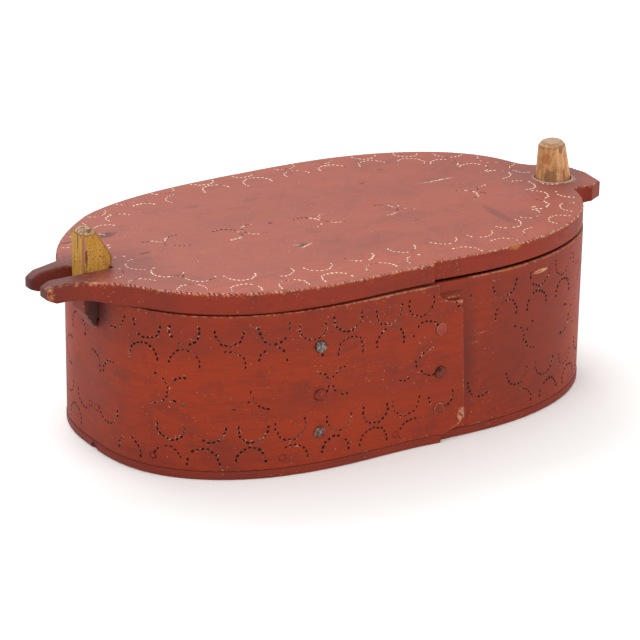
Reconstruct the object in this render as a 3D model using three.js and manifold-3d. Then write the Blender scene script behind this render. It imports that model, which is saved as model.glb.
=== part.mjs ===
// A painted bentwood box with a snap lid. A thin board is steamed, bent into an oval and
// nailed where it laps itself. It stands on a base board that is let up into it and pegged.
// The lid is one board: a tab with a round hole drops over a peg at one end, and a fork at
// the other end takes a springy catch. +X points from the catch to the peg, +Y to the back,
// +Z up. The origin is on the underside of the base, in the middle of the oval.

import * as THREE from 'three';
import { mergeVertices } from 'three/addons/utils/BufferGeometryUtils.js';
import Module from 'manifold-3d';

const wasm = await Module();
wasm.setup();

// Oval, measured on the rim of the base, in millimetres
const halfLength = 160;
const halfWidth = 94.8;
const squareness = 2.52; // 2 would be an ellipse
// How the hand-bent oval strays from a true one: for 1, 2, 3 ... waves round it, the
// cosine and sine parts, in hundredths of its radius
const unevenness = [[0.5, 0.35], [-0.87, 0.01], [-0.98, -0.64], [-1.52, 0.05], [0.1, 0.34]];

// Bent band
const bandThickness = 3;
const bandHeight = 88;
const bandInset = 0.6; // the rim of the base stands proud of the band by this
const innerEndX = -84; // where the strip starts, inside the front
const outerEndX = 29; // where it ends, outside the front
const rampAngle = 2; // degrees past the left end where the strip starts to climb on itself
const rampRest = 3; // degrees before the lap by which it has climbed
const layerGap = 0.3; // between the two layers of the lap
const topCornerCut = new THREE.Vector2(19, 12.5); // cut off the strip's outer top corner
const bottomCornerCut = new THREE.Vector2(13, 8);
const endLean = 3.5; // the strip's outer end leans in by this from bottom to top

// Clearances
const fitGap = 0.3; // between pieces that touch
const holeGap = 0.3; // round a peg or a nail
const slotGap = 0.3; // beside the catch, in the lid and in the band
const boreGap = 0.7; // round the peg, in the lid
const hingeGap = 0.5; // round the pegs that the catch rocks on

// Base board
const rimThickness = 6;
const rebateHeight = 10; // how far the board is let up into the band
const baseStepX = 13.5; // where the rim steps in beside the end of the lap
const chipAngle = 182; // degrees round the oval, a piece broken out of the rim
const chipWidth = 9;
const chipDepth = 2.4;
const chipHeight = 5;

// Lid
const lidThickness = 12.6;
const lidInset = 1.2; // from the rim of the base
const lidStepX = 7;
const postLine = -5; // both posts stand a little in front of the middle

// Outlines of the lid's two ends, as pairs: out past the oval's end, back from the post line
const tabCorners = [[9.5, -25.7], [19, -20.6], [21.8, -2.8], [20, 8.5], [3, 25.1]];
const tabFrontHollow = [3, -21];
const tabBackHollow = [-3, 30];
const tabBackRoot = 38;
const tabFrontRoot = -25.5;
const tabThinning = 2.2; // off the underside of the tab
const forkBackCorners = [[11, 18.3], [34.7, 10]];
const forkFrontCorners = [[34.7, -17.3], [23, -17.2], [16.5, -18.6], [11, -22.4], [3.5, -28]];
const forkShoulder = [-2.9, 50.9];
const forkFrontHollow = [-4, -33];
const forkFrontRoot = -50;
const shoulderAngle = 149; // degrees, where the back of the oval leaves for the fork
const slotTipBack = 2.6; // the back prong closes in on the slot at its tip
const prongThinning = 1.8; // the same for the prongs
const tipBevel = 6; // length of the bevels on the prongs' ends
const tipBevelTop = 2.6;
const tipBevelBottom = 4.6;

// Posts
const staveDepth = 8;
const staveFoot = 0.4; // clear of the base board
const catchWidth = 13.6;
const catchProud = 8.6; // outer face of the head, out from the band
const catchHeight = 22.8; // above the lid
const headBottom = 10.3; // end of the head's outer face, below the lid
const taperBottom = 21; // from there the head tapers in to the band by this depth
const noseReach = 9.5; // in from the band's outer face
const noseHeight = 2.2;
const noseFlat = 4.3;
const noseUndercut = 1.8;
const crownOuter = 2.6; // slope at the outer edge of the crown
const crownInner = 8.2; // from the outer face to where the long slope starts
const crownDrop = 2.3;
const crownBevel = 2.8; // at the crown's two sides
const notchDepth = 16.5; // in the top edge of the band
const neckClearance = 1.4; // over the bottom of the notch
const catchSwing = 4; // degrees
const springRoom = 0.8; // more degrees than it swings
const hingeHeight = 26;
const pegBaseRadius = 10.7;
const pegTopRadius = 8.1;
const pegHeight = 20.5; // to the edge of its chamfer, above the lid
const pegChamferRadius = 6;
const pegChamferHeight = 2.2;
const pegCrown = 0.8;
const pegLean = 5; // degrees, towards the catch
const pegFacets = 14;
const pegStaveWidth = 20;

// Fastenings
const nailColumns = [
  { x: -65, heights: [72.8, 45, 23.2] },
  { x: 12, heights: [68.5, 43, 21] },
];
const nailShank = 1.2;
const nailHead = 3.4;
const nailDome = 1.3;
const nailClench = 2.2;
const clenchThickness = 0.8;
const basePegCount = 12;
const basePegX = -86; // the first one, on the front
const basePegRadius = 2;
const basePegLength = 15;
const catchPegRadius = 1.6;
const catchPegSpacing = 6.8;
const postPegRadius = 2;
const postPegHeights = [28, 64];

// Fineness of the round shapes
const ovalStep = 3; // degrees
const roundSides = 10;
const blendSegments = 5;

// Levels
const bandBottom = rimThickness + fitGap;
const bandTop = bandBottom + bandHeight;
const lidBottom = bandTop + fitGap;
const lidTop = lidBottom + lidThickness;
const rebateTop = rimThickness + rebateHeight;
const lapStep = bandThickness + layerGap;
const reachPast = 40; // a cutting tool runs this far past what it cuts
const bisections = 40;

const red = { color: 0x93402f, roughness: 0.5, metalness: 0 };
const lidRed = { color: 0xb0655a, roughness: 0.42, metalness: 0 };
const ochre = { color: 0xb88c3a, roughness: 0.62, metalness: 0 };
const bareWood = { color: 0xc88c55, roughness: 0.6, metalness: 0 };
const iron = { color: 0x77706a, roughness: 0.55, metalness: 0.8 };

const radians = THREE.MathUtils.degToRad;
const box = new THREE.Group();
box.name = 'bentwood_box';

function addPiece(name, geometry, look) {
  const mesh = new THREE.Mesh(geometry, new THREE.MeshStandardMaterial(look));
  mesh.name = name;
  box.add(mesh);
}

function toSolid(geometry) {
  const bare = geometry.clone();
  bare.deleteAttribute('normal');
  bare.deleteAttribute('uv');
  const merged = mergeVertices(bare, 1e-4);
  return new wasm.Manifold(new wasm.Mesh({
    numProp: 3,
    vertProperties: new Float32Array(merged.attributes.position.array),
    triVerts: new Uint32Array(merged.index.array),
  }));
}

function toGeometry(solid) {
  const mesh = solid.getMesh();
  const geometry = new THREE.BufferGeometry();
  geometry.setAttribute('position', new THREE.BufferAttribute(mesh.vertProperties, 3));
  geometry.setIndex(new THREE.BufferAttribute(mesh.triVerts, 1));
  return geometry;
}

function cut(geometry, tools) {
  return toGeometry(tools.reduce((solid, tool) => solid.subtract(toSolid(tool)), toSolid(geometry)));
}

function slab(outline, bottom, height) {
  const shape = Array.isArray(outline) ? new THREE.Shape(outline) : outline;
  const options = { depth: height, bevelEnabled: false, curveSegments: blendSegments };
  return new THREE.ExtrudeGeometry(shape, options).translate(0, 0, bottom);
}

// An outline drawn in X and Z, standing between two values of Y
function upright(points, fromY, toY) {
  const shape = new THREE.Shape(points.map(([x, z]) => new THREE.Vector2(x, z)));
  const options = { depth: toY - fromY, bevelEnabled: false };
  return new THREE.ExtrudeGeometry(shape, options).rotateX(Math.PI / 2).translate(0, toY, 0);
}

// The oval

function ovalRadius(angle) {
  const along = Math.abs(Math.cos(angle)) / halfLength;
  const across = Math.abs(Math.sin(angle)) / halfWidth;
  const waves = unevenness.map(
    ([cosine, sine], i) => cosine * Math.cos((i + 1) * angle) + sine * Math.sin((i + 1) * angle));
  const stray = waves.reduce((sum, wave) => sum + wave, 0) / 100;
  return (1 + stray) * (along ** squareness + across ** squareness) ** (-1 / squareness);
}

function ovalNormal(angle) {
  const turn = radians(1) / 10;
  const slope = (ovalRadius(angle + turn) - ovalRadius(angle - turn)) / (2 * turn);
  const outward = new THREE.Vector2(ovalRadius(angle), -slope);
  return outward.rotateAround(new THREE.Vector2(), angle).normalize();
}

function ovalPoint(angle, grow) {
  const radius = ovalRadius(angle);
  return new THREE.Vector2(radius * Math.cos(angle), radius * Math.sin(angle))
    .addScaledVector(ovalNormal(angle), grow);
}

// Polar angle between two others at which the oval reaches a place along one axis
function ovalAngle(axis, place, from, to) {
  const rising = ovalPoint(to, 0)[axis] > ovalPoint(from, 0)[axis];
  let [low, high] = [from, to];
  for (let i = 0; i < bisections; i += 1) {
    const middle = (low + high) / 2;
    const before = (ovalPoint(middle, 0)[axis] < place) === rising;
    [low, high] = before ? [middle, high] : [low, middle];
  }
  return low;
}

const frontAngle = (x) => ovalAngle('x', x, Math.PI, 2 * Math.PI);
const rightAngle = (y) => ovalAngle('y', y, -Math.PI / 2, Math.PI / 2);
const leftAngle = (y) => ovalAngle('y', y, Math.PI / 2, (3 * Math.PI) / 2);
const rightEnd = (y) => ovalPoint(rightAngle(y), 0).x;
const leftEnd = (y) => -ovalPoint(leftAngle(y), 0).x;

// How far out a flat board of some width can stand inside the band at one end
function insideEnd(end, width) {
  const edges = [postLine - width / 2, postLine + width / 2].map((y) => end(y));
  return Math.min(...edges) - bandInset - bandThickness - fitGap;
}

function arc(from, to, place) {
  const steps = Math.max(1, Math.round((to - from) / radians(ovalStep)));
  return Array.from({ length: steps + 1 }, (_, i) => place(from + ((to - from) * i) / steps));
}

// The strip runs from its inner end once round and on over itself to its outer end
const stripStart = frontAngle(innerEndX);
const stripEnd = frontAngle(outerEndX) + 2 * Math.PI;
const rampStart = 3 * Math.PI + radians(rampAngle);
const rampEnd = stripStart + 2 * Math.PI - radians(rampRest);

function stripShift(angle) {
  return lapStep * THREE.MathUtils.smoothstep(angle, rampStart, rampEnd);
}

// The same for the surface that shows, up to the step beside the end of the lap
function outerShift(angle, stepX) {
  return angle > Math.PI && angle <= frontAngle(stepX) ? stripShift(angle + 2 * Math.PI) : 0;
}

function steppedArc(from, to, grow, stepX) {
  const step = frontAngle(stepX);
  const before = arc(from, step, (angle) => ovalPoint(angle, grow + outerShift(angle, stepX)));
  const after = arc(step, to, (angle) => ovalPoint(angle, grow));
  return [...before, ...after];
}

// Fastenings, each built along +Y and then turned to point out of the oval

function pointOutwards(geometry, angle, grow, z) {
  const place = ovalPoint(angle, grow);
  const normal = ovalNormal(angle);
  const turn = Math.atan2(normal.y, normal.x) - Math.PI / 2;
  return geometry.rotateZ(turn).translate(place.x, place.y, z);
}

function rod(radius, length, sides = roundSides) {
  return new THREE.CylinderGeometry(radius, radius, length, sides).translate(0, -length / 2, 0);
}

function rodAcross(radius, length, outerX, y, z) {
  const towards = Math.sign(outerX);
  return rod(radius, length).rotateZ(-towards * Math.PI / 2).translate(outerX, y, z);
}

function nail() {
  const inside = -(2 * bandThickness + layerGap) - fitGap;
  return new THREE.LatheGeometry([
    [0, inside - clenchThickness], [nailClench, inside - clenchThickness], [nailClench, inside],
    [nailShank, inside], [nailShank, fitGap], [nailHead, fitGap],
    [nailHead * 0.85, fitGap + nailDome * 0.6], [nailHead * 0.45, fitGap + nailDome * 0.92],
    [0, fitGap + nailDome],
  ].map(([r, y]) => new THREE.Vector2(r, y)), roundSides);
}

const nailSeats = nailColumns.flatMap(({ x, heights }) => heights.map((z) => ({ x, z })));

function onLap(geometry, seat) {
  return pointOutwards(geometry, frontAngle(seat.x), lapStep - bandInset, seat.z);
}

// Angles that divide the oval into equal lengths of rim, from the first peg on
function evenAngles(first, count) {
  const fine = 720;
  const angles = Array.from({ length: fine + 1 }, (_, i) => first + (2 * Math.PI * i) / fine);
  const points = angles.map((angle) => ovalPoint(angle, 0));
  const run = [0];
  points.slice(1).forEach((point, i) => run.push(run[i] + point.distanceTo(points[i])));
  const part = run[fine] / count;
  return Array.from({ length: count }, (_, i) => angles[run.findIndex((length) => length >= i * part)]);
}

const basePegLevel = (bandBottom + rebateTop) / 2;
const basePegAngles = evenAngles(frontAngle(basePegX), basePegCount)
  .map((angle) => THREE.MathUtils.euclideanModulo(angle, 2 * Math.PI));

function intoBase(geometry, angle) {
  const grow = outerShift(angle, outerEndX) - bandInset;
  return pointOutwards(geometry, angle, grow, basePegLevel);
}

const basePegHoles = basePegAngles.map((angle) => {
  const length = basePegLength + fitGap;
  return intoBase(rod(basePegRadius + holeGap, length + reachPast).translate(0, reachPast, 0), angle);
});

// Where the posts stand, as distances from the middle towards either end
const notchBottom = bandTop - notchDepth;
const staveBottom = rebateTop + staveFoot;
const catchBandOuter = leftEnd(postLine) - bandInset;
const catchStaveOuter = insideEnd(leftEnd, catchWidth);
const catchStaveInner = catchStaveOuter - staveDepth;
const catchOuter = catchBandOuter + catchProud;
const noseInner = catchBandOuter - noseReach;
const pegCentre = rightEnd(postLine) - bandInset;
const pegStaveOuter = insideEnd(rightEnd, pegStaveWidth);
const pegStaveInner = pegStaveOuter - staveDepth;

const catchPegYs = [-1, 1].map((side) => postLine + (side * catchPegSpacing) / 2);

function catchPegHoles() {
  const outer = -(catchBandOuter + reachPast);
  return catchPegYs.map((y) => rodAcross(catchPegRadius + hingeGap, 2 * reachPast, outer, y, hingeHeight));
}

function postPegHoles() {
  const outer = pegCentre + reachPast;
  return postPegHeights.map((z) => rodAcross(postPegRadius + holeGap, 2 * reachPast, outer, postLine, z));
}

function makeBase() {
  const rim = steppedArc(0, 2 * Math.PI, 0, baseStepX).slice(0, -1);
  const rebateGrow = -bandInset - bandThickness - fitGap;
  const rebate = arc(0, 2 * Math.PI, (angle) => ovalPoint(angle, rebateGrow)).slice(0, -1);
  const sunk = rimThickness / 2; // the two outlines are joined in one board
  const board = toSolid(slab(rim, 0, rimThickness))
    .add(toSolid(slab(rebate, sunk, rebateTop - sunk)));
  const chip = new THREE.BoxGeometry(chipWidth, 2 * chipDepth, chipHeight);
  const broken = pointOutwards(chip, radians(chipAngle), 0, 0);
  addPiece('base_board', cut(toGeometry(board), [broken, ...basePegHoles]), red);
}

// What is cut off the corners and the end of the strip, outside the layer below
function lapEndTools() {
  const lowX = outerEndX;
  const highX = outerEndX - endLean;
  const past = outerEndX + reachPast;
  const front = -halfWidth - reachPast;
  const profile = [
    [highX - topCornerCut.x, bandTop + 1], [highX - topCornerCut.x, bandTop],
    [highX, bandTop - topCornerCut.y], [lowX, bandBottom + bottomCornerCut.y],
    [lowX - bottomCornerCut.x, bandBottom], [lowX - bottomCornerCut.x, bandBottom - 1],
    [past, bandBottom - 1], [past, bandTop + 1],
  ];
  const tool = toSolid(upright(profile, front, -halfWidth / 2));
  const below = arc(0, 2 * Math.PI, (angle) => ovalPoint(angle, layerGap / 2 - bandInset)).slice(0, -1);
  const kept = toSolid(slab(below, -reachPast, bandTop + 2 * reachPast));
  return toGeometry(tool.subtract(kept));
}

function makeBand() {
  const face = (grow) => arc(stripStart, stripEnd, (angle) => ovalPoint(angle, stripShift(angle) + grow));
  const strip = [...face(-bandInset), ...face(-bandInset - bandThickness).reverse()];
  const notch = new THREE.BoxGeometry(reachPast, catchWidth + 2 * slotGap, 2 * notchDepth)
    .translate(-catchBandOuter, postLine, bandTop);
  const nailHoles = nailSeats.map((seat) => {
    const tool = rod(nailShank + holeGap, reachPast).translate(0, reachPast / 2, 0);
    return onLap(tool, seat);
  });
  const tools = [lapEndTools(), notch, ...nailHoles, ...basePegHoles, ...catchPegHoles(), ...postPegHoles()];
  addPiece('band', cut(slab(strip, bandBottom, bandHeight), tools), red);
}

function lidOutline() {
  const tabPoint = ([out, back]) => new THREE.Vector2(rightEnd(postLine) + out, postLine + back);
  const forkPoint = ([out, back]) => new THREE.Vector2(-leftEnd(postLine) - out, postLine + back);
  const forkEnd = forkPoint(forkBackCorners[1]).x;
  const slotBack = postLine + catchWidth / 2 + slotGap;
  const slotFront = postLine - catchWidth / 2 - slotGap;
  const slotEnd = -(noseInner - fitGap);
  const headSwing = (lidTop + catchHeight - hingeHeight) * Math.sin(radians(catchSwing));
  const slotNarrows = -(catchOuter + slotGap + headSwing);
  const backArc = arc(rightAngle(postLine + tabBackRoot), radians(shoulderAngle),
    (angle) => ovalPoint(angle, -lidInset));
  const frontArc = steppedArc(leftAngle(postLine + forkFrontRoot),
    2 * Math.PI + rightAngle(postLine + tabFrontRoot), -lidInset, lidStepX);

  const outline = new THREE.Shape();
  const lineThrough = (points) => points.forEach(({ x, y }) => outline.lineTo(x, y));
  const curveTo = (bend, end) => outline.quadraticCurveTo(bend.x, bend.y, end.x, end.y);
  outline.moveTo(backArc[0].x, backArc[0].y);
  lineThrough(backArc.slice(1));
  curveTo(forkPoint(forkShoulder), forkPoint(forkBackCorners[0]));
  lineThrough([forkPoint(forkBackCorners[1])]);
  outline.lineTo(forkEnd, postLine + slotTipBack);
  outline.lineTo(slotNarrows, slotBack);
  outline.lineTo(slotEnd, slotBack);
  outline.lineTo(slotEnd, slotFront);
  outline.lineTo(forkEnd, slotFront);
  lineThrough(forkFrontCorners.map(forkPoint));
  curveTo(forkPoint(forkFrontHollow), frontArc[0]);
  lineThrough(frontArc.slice(1));
  curveTo(tabPoint(tabFrontHollow), tabPoint(tabCorners[0]));
  lineThrough(tabCorners.slice(1).map(tabPoint));
  curveTo(tabPoint(tabBackHollow), backArc[0]);
  return outline;
}

function makeLid() {
  const board = slab(lidOutline(), lidBottom, lidThickness);
  const forkStart = -leftEnd(postLine);
  const forkTip = forkStart - forkBackCorners[1][0];
  const tabStart = rightEnd(postLine);
  const tabEnd = tabStart + reachPast;
  const topBevel = [
    [forkTip + tipBevel, lidTop], [forkTip + tipBevel, lidTop + 1], [forkTip - 1, lidTop + 1],
    [forkTip - 1, lidTop - tipBevelTop],
  ];
  const underFork = [
    [forkStart, lidBottom], [forkStart - forkBackCorners[0][0], lidBottom + prongThinning],
    [forkTip + tipBevel, lidBottom + prongThinning], [forkTip - 1, lidBottom + tipBevelBottom],
    [forkTip - 1, lidBottom - 1], [forkStart, lidBottom - 1],
  ];
  const underTab = [
    [tabStart, lidBottom], [tabStart + tabCorners[0][0], lidBottom + tabThinning],
    [tabEnd, lidBottom + tabThinning], [tabEnd, lidBottom - 1], [tabStart, lidBottom - 1],
  ];
  const bore = rod(pegBaseRadius + boreGap, lidThickness + reachPast, 2 * roundSides)
    .rotateX(Math.PI / 2).translate(pegCentre, postLine, lidTop + reachPast / 2);
  const carving = [topBevel, underFork, underTab]
    .map((points) => upright(points, postLine - reachPast, postLine + reachPast));
  addPiece('lid', cut(board, [...carving, bore]), lidRed);
}

function makeCatch() {
  const neckBottom = notchBottom + neckClearance;
  const slope = Math.tan(radians(catchSwing + springRoom));
  const thin = catchStaveOuter - (neckBottom - hingeHeight) * slope;
  const outside = catchBandOuter + slotGap;
  const neckInner = noseInner + noseUndercut;
  const shoulder = lidBottom - 2 * noseUndercut;
  const crown = lidTop + catchHeight;
  const profile = [
    [catchStaveInner, staveBottom], [catchStaveOuter, staveBottom], [catchStaveOuter, hingeHeight],
    [thin, neckBottom], [outside, neckBottom], [outside, lidBottom - taperBottom],
    [outside + 1, lidBottom - taperBottom], [catchOuter, lidBottom - headBottom],
    [catchOuter, crown - crownDrop], [catchOuter - crownOuter, crown], [catchOuter - crownInner, crown],
    [noseInner, lidTop + noseHeight + noseFlat], [noseInner, lidTop + noseHeight],
    [neckInner, lidTop + fitGap], [neckInner, shoulder], [catchStaveInner + noseUndercut, shoulder],
    [catchStaveInner, shoulder - 2 * noseUndercut],
  ].map(([outwards, z]) => [-outwards, z]);
  const board = upright(profile, postLine - catchWidth / 2, postLine + catchWidth / 2);
  const bevels = [-1, 1].map((side) => {
    const edge = postLine + (side * catchWidth) / 2;
    const steep = crownDrop / crownBevel;
    const corner = [
      [edge + side, crown - crownDrop - steep], [edge - side * (crownBevel + 1), crown + steep],
      [edge + side, crown + steep],
    ];
    const wedge = upright(corner, 0, reachPast);
    return wedge.rotateZ(Math.PI / 2).translate(-noseInner + 1, 0, 0);
  });
  addPiece('catch_post', cut(board, [...bevels, ...catchPegHoles()]), ochre);
}

function makePegPost() {
  const seat = lidBottom + fitGap;
  const turned = (points) => new THREE.LatheGeometry(
    points.map(([r, z]) => new THREE.Vector2(r, z)), pegFacets).rotateX(Math.PI / 2);
  const neck = turned([
    [0, seat - staveDepth], [pegBaseRadius, seat - staveDepth], [pegBaseRadius, lidTop], [0, lidTop],
  ]).translate(pegCentre, postLine, 0);
  const head = turned([
    [0, -1], [pegBaseRadius, -1], [pegTopRadius, pegHeight], [pegChamferRadius, pegHeight + pegChamferHeight],
    [0, pegHeight + pegChamferHeight + pegCrown],
  ]).rotateY(radians(-pegLean)).translate(pegCentre, postLine, lidTop);
  const overWall = new THREE.BoxGeometry(2 * reachPast, 2 * reachPast, reachPast)
    .translate(pegStaveOuter + reachPast, postLine, seat - reachPast / 2);
  const staveTop = lidBottom - 2 * fitGap;
  const stave = new THREE.BoxGeometry(staveDepth, pegStaveWidth, staveTop - staveBottom)
    .translate((pegStaveInner + pegStaveOuter) / 2, postLine, (staveBottom + staveTop) / 2);
  const post = toSolid(neck).subtract(toSolid(overWall)).add(toSolid(head)).add(toSolid(stave));
  addPiece('peg_post', cut(toGeometry(post), postPegHoles()), bareWood);
}

function makeFastenings() {
  nailSeats.forEach((seat, i) => addPiece(`lap_nail_${i + 1}`, onLap(nail(), seat), iron));
  basePegAngles.forEach((angle, i) => {
    addPiece(`base_peg_${i + 1}`, intoBase(rod(basePegRadius, basePegLength), angle), red);
  });
  catchPegYs.forEach((y, i) => {
    const peg = rodAcross(catchPegRadius, catchBandOuter - catchStaveInner, -catchBandOuter, y, hingeHeight);
    addPiece(`catch_peg_${i + 1}`, peg, red);
  });
  postPegHeights.forEach((z, i) => {
    const peg = rodAcross(postPegRadius, pegCentre - pegStaveInner, pegCentre, postLine, z);
    addPiece(`post_peg_${i + 1}`, peg, red);
  });
}

makeBase();
makeBand();
makeLid();
makeCatch();
makePegPost();
makeFastenings();

export default box;
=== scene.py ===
import math
import random
from collections import namedtuple
from functools import lru_cache

import bpy
import numpy as np
from mathutils import Matrix, Vector, noise
from mathutils.geometry import delaunay_2d_cdt


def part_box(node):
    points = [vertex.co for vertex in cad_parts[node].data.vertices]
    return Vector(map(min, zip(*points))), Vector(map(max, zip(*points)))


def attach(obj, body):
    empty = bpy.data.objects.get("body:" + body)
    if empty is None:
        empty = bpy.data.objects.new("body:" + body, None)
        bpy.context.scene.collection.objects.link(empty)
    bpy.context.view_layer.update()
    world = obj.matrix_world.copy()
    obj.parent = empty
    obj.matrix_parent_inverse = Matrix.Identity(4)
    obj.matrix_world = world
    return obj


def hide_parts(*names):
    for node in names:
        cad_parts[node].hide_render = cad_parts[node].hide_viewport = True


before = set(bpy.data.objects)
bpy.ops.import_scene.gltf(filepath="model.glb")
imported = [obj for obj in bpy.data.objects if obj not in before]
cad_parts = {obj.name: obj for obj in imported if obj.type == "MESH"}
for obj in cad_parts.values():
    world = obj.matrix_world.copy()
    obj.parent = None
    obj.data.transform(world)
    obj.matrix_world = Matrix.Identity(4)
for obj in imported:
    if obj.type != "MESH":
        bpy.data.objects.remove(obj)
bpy.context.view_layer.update()        # nodes of the imported box
mm = 0.001               # shapes are worked out in millimetres and kept in metres


# Camera and light

viewpoint = {
    'azimuth': -33.041, 'elevation': 20.762, 'roll': 0.937,   # degrees
    'target': (0, 0, 0.055), 'distance': 1.580161,
    'focal': 2743.097, 'centre': (328.372, 302.121), 'picture': 640,   # pixels
    'sensor': 36,   # mm
}


def placeCamera(view):
    azimuth, elevation, roll = (math.radians(view[key]) for key in ('azimuth', 'elevation', 'roll'))
    back = Vector((math.sin(azimuth) * math.cos(elevation),
                   -math.cos(azimuth) * math.cos(elevation), math.sin(elevation)))
    level = Vector((0, 0, 1)).cross(back).normalized()
    upright = back.cross(level)
    right = level * math.cos(roll) + upright * math.sin(roll)
    up = upright * math.cos(roll) - level * math.sin(roll)
    lens = bpy.data.cameras.new('camera')
    lens.sensor_width = view['sensor']
    lens.lens = view['focal'] / view['picture'] * lens.sensor_width
    lens.shift_x = 0.5 - view['centre'][0] / view['picture']
    lens.shift_y = view['centre'][1] / view['picture'] - 0.5
    camera = bpy.data.objects.new('camera', lens)
    bpy.context.collection.objects.link(camera)
    place = Vector(view['target']) + back * view['distance']
    axes = Matrix((right, up, back)).transposed().to_4x4()
    camera.matrix_world = Matrix.Translation(place) @ axes
    bpy.context.scene.camera = camera


placeCamera(viewpoint)
bpy.context.scene.view_settings.view_transform = 'Standard'

studio = {
    'world': 0.93, 'aim': (0, 0, 0.06),
    'lamps': [   # place, size, watts, colour
        ('side_softbox', (-1.5, -0.5, 1.3), 1.1, 7, (1.0, 0.985, 0.96)),
        ('back_softbox', (0.1, 1.5, 1.6), 1.6, 22, (0.97, 0.985, 1.0)),
        ('front_softbox', (0.9, -1.9, 0.9), 1.3, 12, (1.0, 0.98, 0.96)),
    ],
}


def lightStudio(light):
    world = bpy.context.scene.world or bpy.data.worlds.new('studio')
    bpy.context.scene.world = world
    world.use_nodes = True
    backdrop = world.node_tree.nodes['Background']
    backdrop.inputs['Color'].default_value = (1, 1, 1, 1)
    backdrop.inputs['Strength'].default_value = light['world']
    for name, place, size, watts, colour in light['lamps']:
        lamp = bpy.data.lights.new(name, 'AREA')
        lamp.shape = 'SQUARE'
        lamp.size = size
        lamp.energy = watts
        lamp.color = colour
        stand = bpy.data.objects.new(name, lamp)
        stand.location = place
        aim = Vector(light['aim']) - Vector(place)
        stand.rotation_euler = aim.to_track_quat('-Z', 'Y').to_euler()
        bpy.context.collection.objects.link(stand)


lightStudio(studio)
print('camera and light set')


# Shader maths: a wire is one output of a node, and arithmetic on wires adds the nodes

class Wire:
    def __init__(self, paint, socket):
        self.paint = paint
        self.socket = socket

    def maths(self, operation, *values):
        return self.paint.node('Math', {'operation': operation}, dict(enumerate(values)))

    def __add__(self, other):
        return self.maths('ADD', self, other)

    def __sub__(self, other):
        return self.maths('SUBTRACT', self, other)

    def __rsub__(self, other):
        return self.maths('SUBTRACT', other, self)

    def __mul__(self, other):
        return self.maths('MULTIPLY', self, other)

    __radd__ = __add__
    __rmul__ = __mul__

    def between(self, low, high):    # 0 below low, 1 above high, smooth in between
        settings = {'interpolation_type': 'SMOOTHSTEP'}
        values = {'Value': self, 'From Min': low, 'From Max': high}
        return self.paint.node('MapRange', settings, values)


# A patch of another colour on a finish: an oval in mm whose edge is blurred and ragged
Patch = namedtuple('Patch', 'at size colour strength turn blur ragged broken',
                   defaults=(1, 0, 0.6, 1.1, False))


class Paint:
    def __init__(self, name):
        self.material = bpy.data.materials.new(name)
        self.material.use_nodes = True
        self.tree = self.material.node_tree
        self.tree.nodes.clear()
        self.place = self.node('TexCoord', {}, {}, 'Object')

    def node(self, kind, settings, values, output=0):
        made = self.tree.nodes.new('ShaderNode' + kind)
        for key, value in settings.items():
            setattr(made, key, value)
        for key, value in values.items():
            if isinstance(value, Wire):
                self.tree.links.new(value.socket, made.inputs[key])
            else:
                made.inputs[key].default_value = value
        return Wire(self, made.outputs[output])

    def stretched(self, stretch, place=None):
        values = {0: place or self.place, 1: stretch}
        return self.node('VectorMath', {'operation': 'MULTIPLY'}, values)

    def cloud(self, size, stretch=(1, 1, 1), detail=3, rough=0.55, shift=0):    # size in mm
        place = self.stretched(stretch)
        if shift:
            values = {0: place, 1: (shift, -shift, shift / 2)}
            place = self.node('VectorMath', {'operation': 'ADD'}, values)
        values = {'Vector': place, 'Scale': 1 / (size * mm), 'Detail': detail, 'Roughness': rough}
        return self.node('TexNoise', {}, values)

    def mark(self, name):
        return self.node('Attribute', {'attribute_name': name}, {}, 'Fac')

    def height(self):    # in mm
        return self.node('SeparateXYZ', {}, {0: self.place}, 'Z') * (1 / mm)

    def mix(self, factor, first, second):
        values = {0: factor, 6: first, 7: second}
        return self.node('Mix', {'data_type': 'RGBA'}, values, 2)

    def spot(self, centre, radii, turn, blur, ragged):    # an oval mask, in mm
        values = {0: self.place, 1: tuple(-c * mm for c in centre)}
        moved = self.node('VectorMath', {'operation': 'ADD'}, values)
        values = {'Vector': moved, 'Axis': (0, 0, 1), 'Angle': -math.radians(turn)}
        turned = self.node('VectorRotate', {}, values)
        shrunk = self.stretched(tuple(1 / (r * mm) for r in radii), turned)
        reach = self.node('VectorMath', {'operation': 'LENGTH'}, {0: shrunk}, 'Value') + ragged
        return 1 - reach.between(1 - blur, 1)

    def patched(self, colour, patches, wander, speck=None):
        for patch in patches:
            edge = (wander - 0.5) * patch.ragged
            mask = self.spot(patch.at, patch.size, patch.turn, patch.blur, edge)
            if patch.broken:
                mask = mask * speck.between(0.42, 0.58)
            colour = self.mix(mask * patch.strength, colour, patch.colour)
        return colour

    def bump(self, height, depth, strength, below=None):    # depth in mm
        values = {'Strength': strength, 'Distance': depth * mm, 'Height': height}
        if below:
            values['Normal'] = below
        return self.node('Bump', {}, values)

    def finish(self, colour, rough, normal=None, metal=0.0, **fixed):
        values = {'Base Color': colour, 'Roughness': rough, 'Metallic': metal}
        if normal:
            values['Normal'] = normal
        values.update({key.replace('_', ' '): value for key, value in fixed.items()})
        shader = self.node('BsdfPrincipled', {}, values)
        output = self.tree.nodes.new('ShaderNodeOutputMaterial')
        self.tree.links.new(shader.socket, output.inputs['Surface'])
        return self.material


# Oval: its radius, its points grown outwards, and its angle at a place, all in mm

oval = {
    'halfLength': 160, 'halfWidth': 94.8, 'squareness': 2.52,
    'unevenness': [(0.5, 0.35), (-0.87, 0.01), (-0.98, -0.64), (-1.52, 0.05), (0.1, 0.34)],
}


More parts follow.
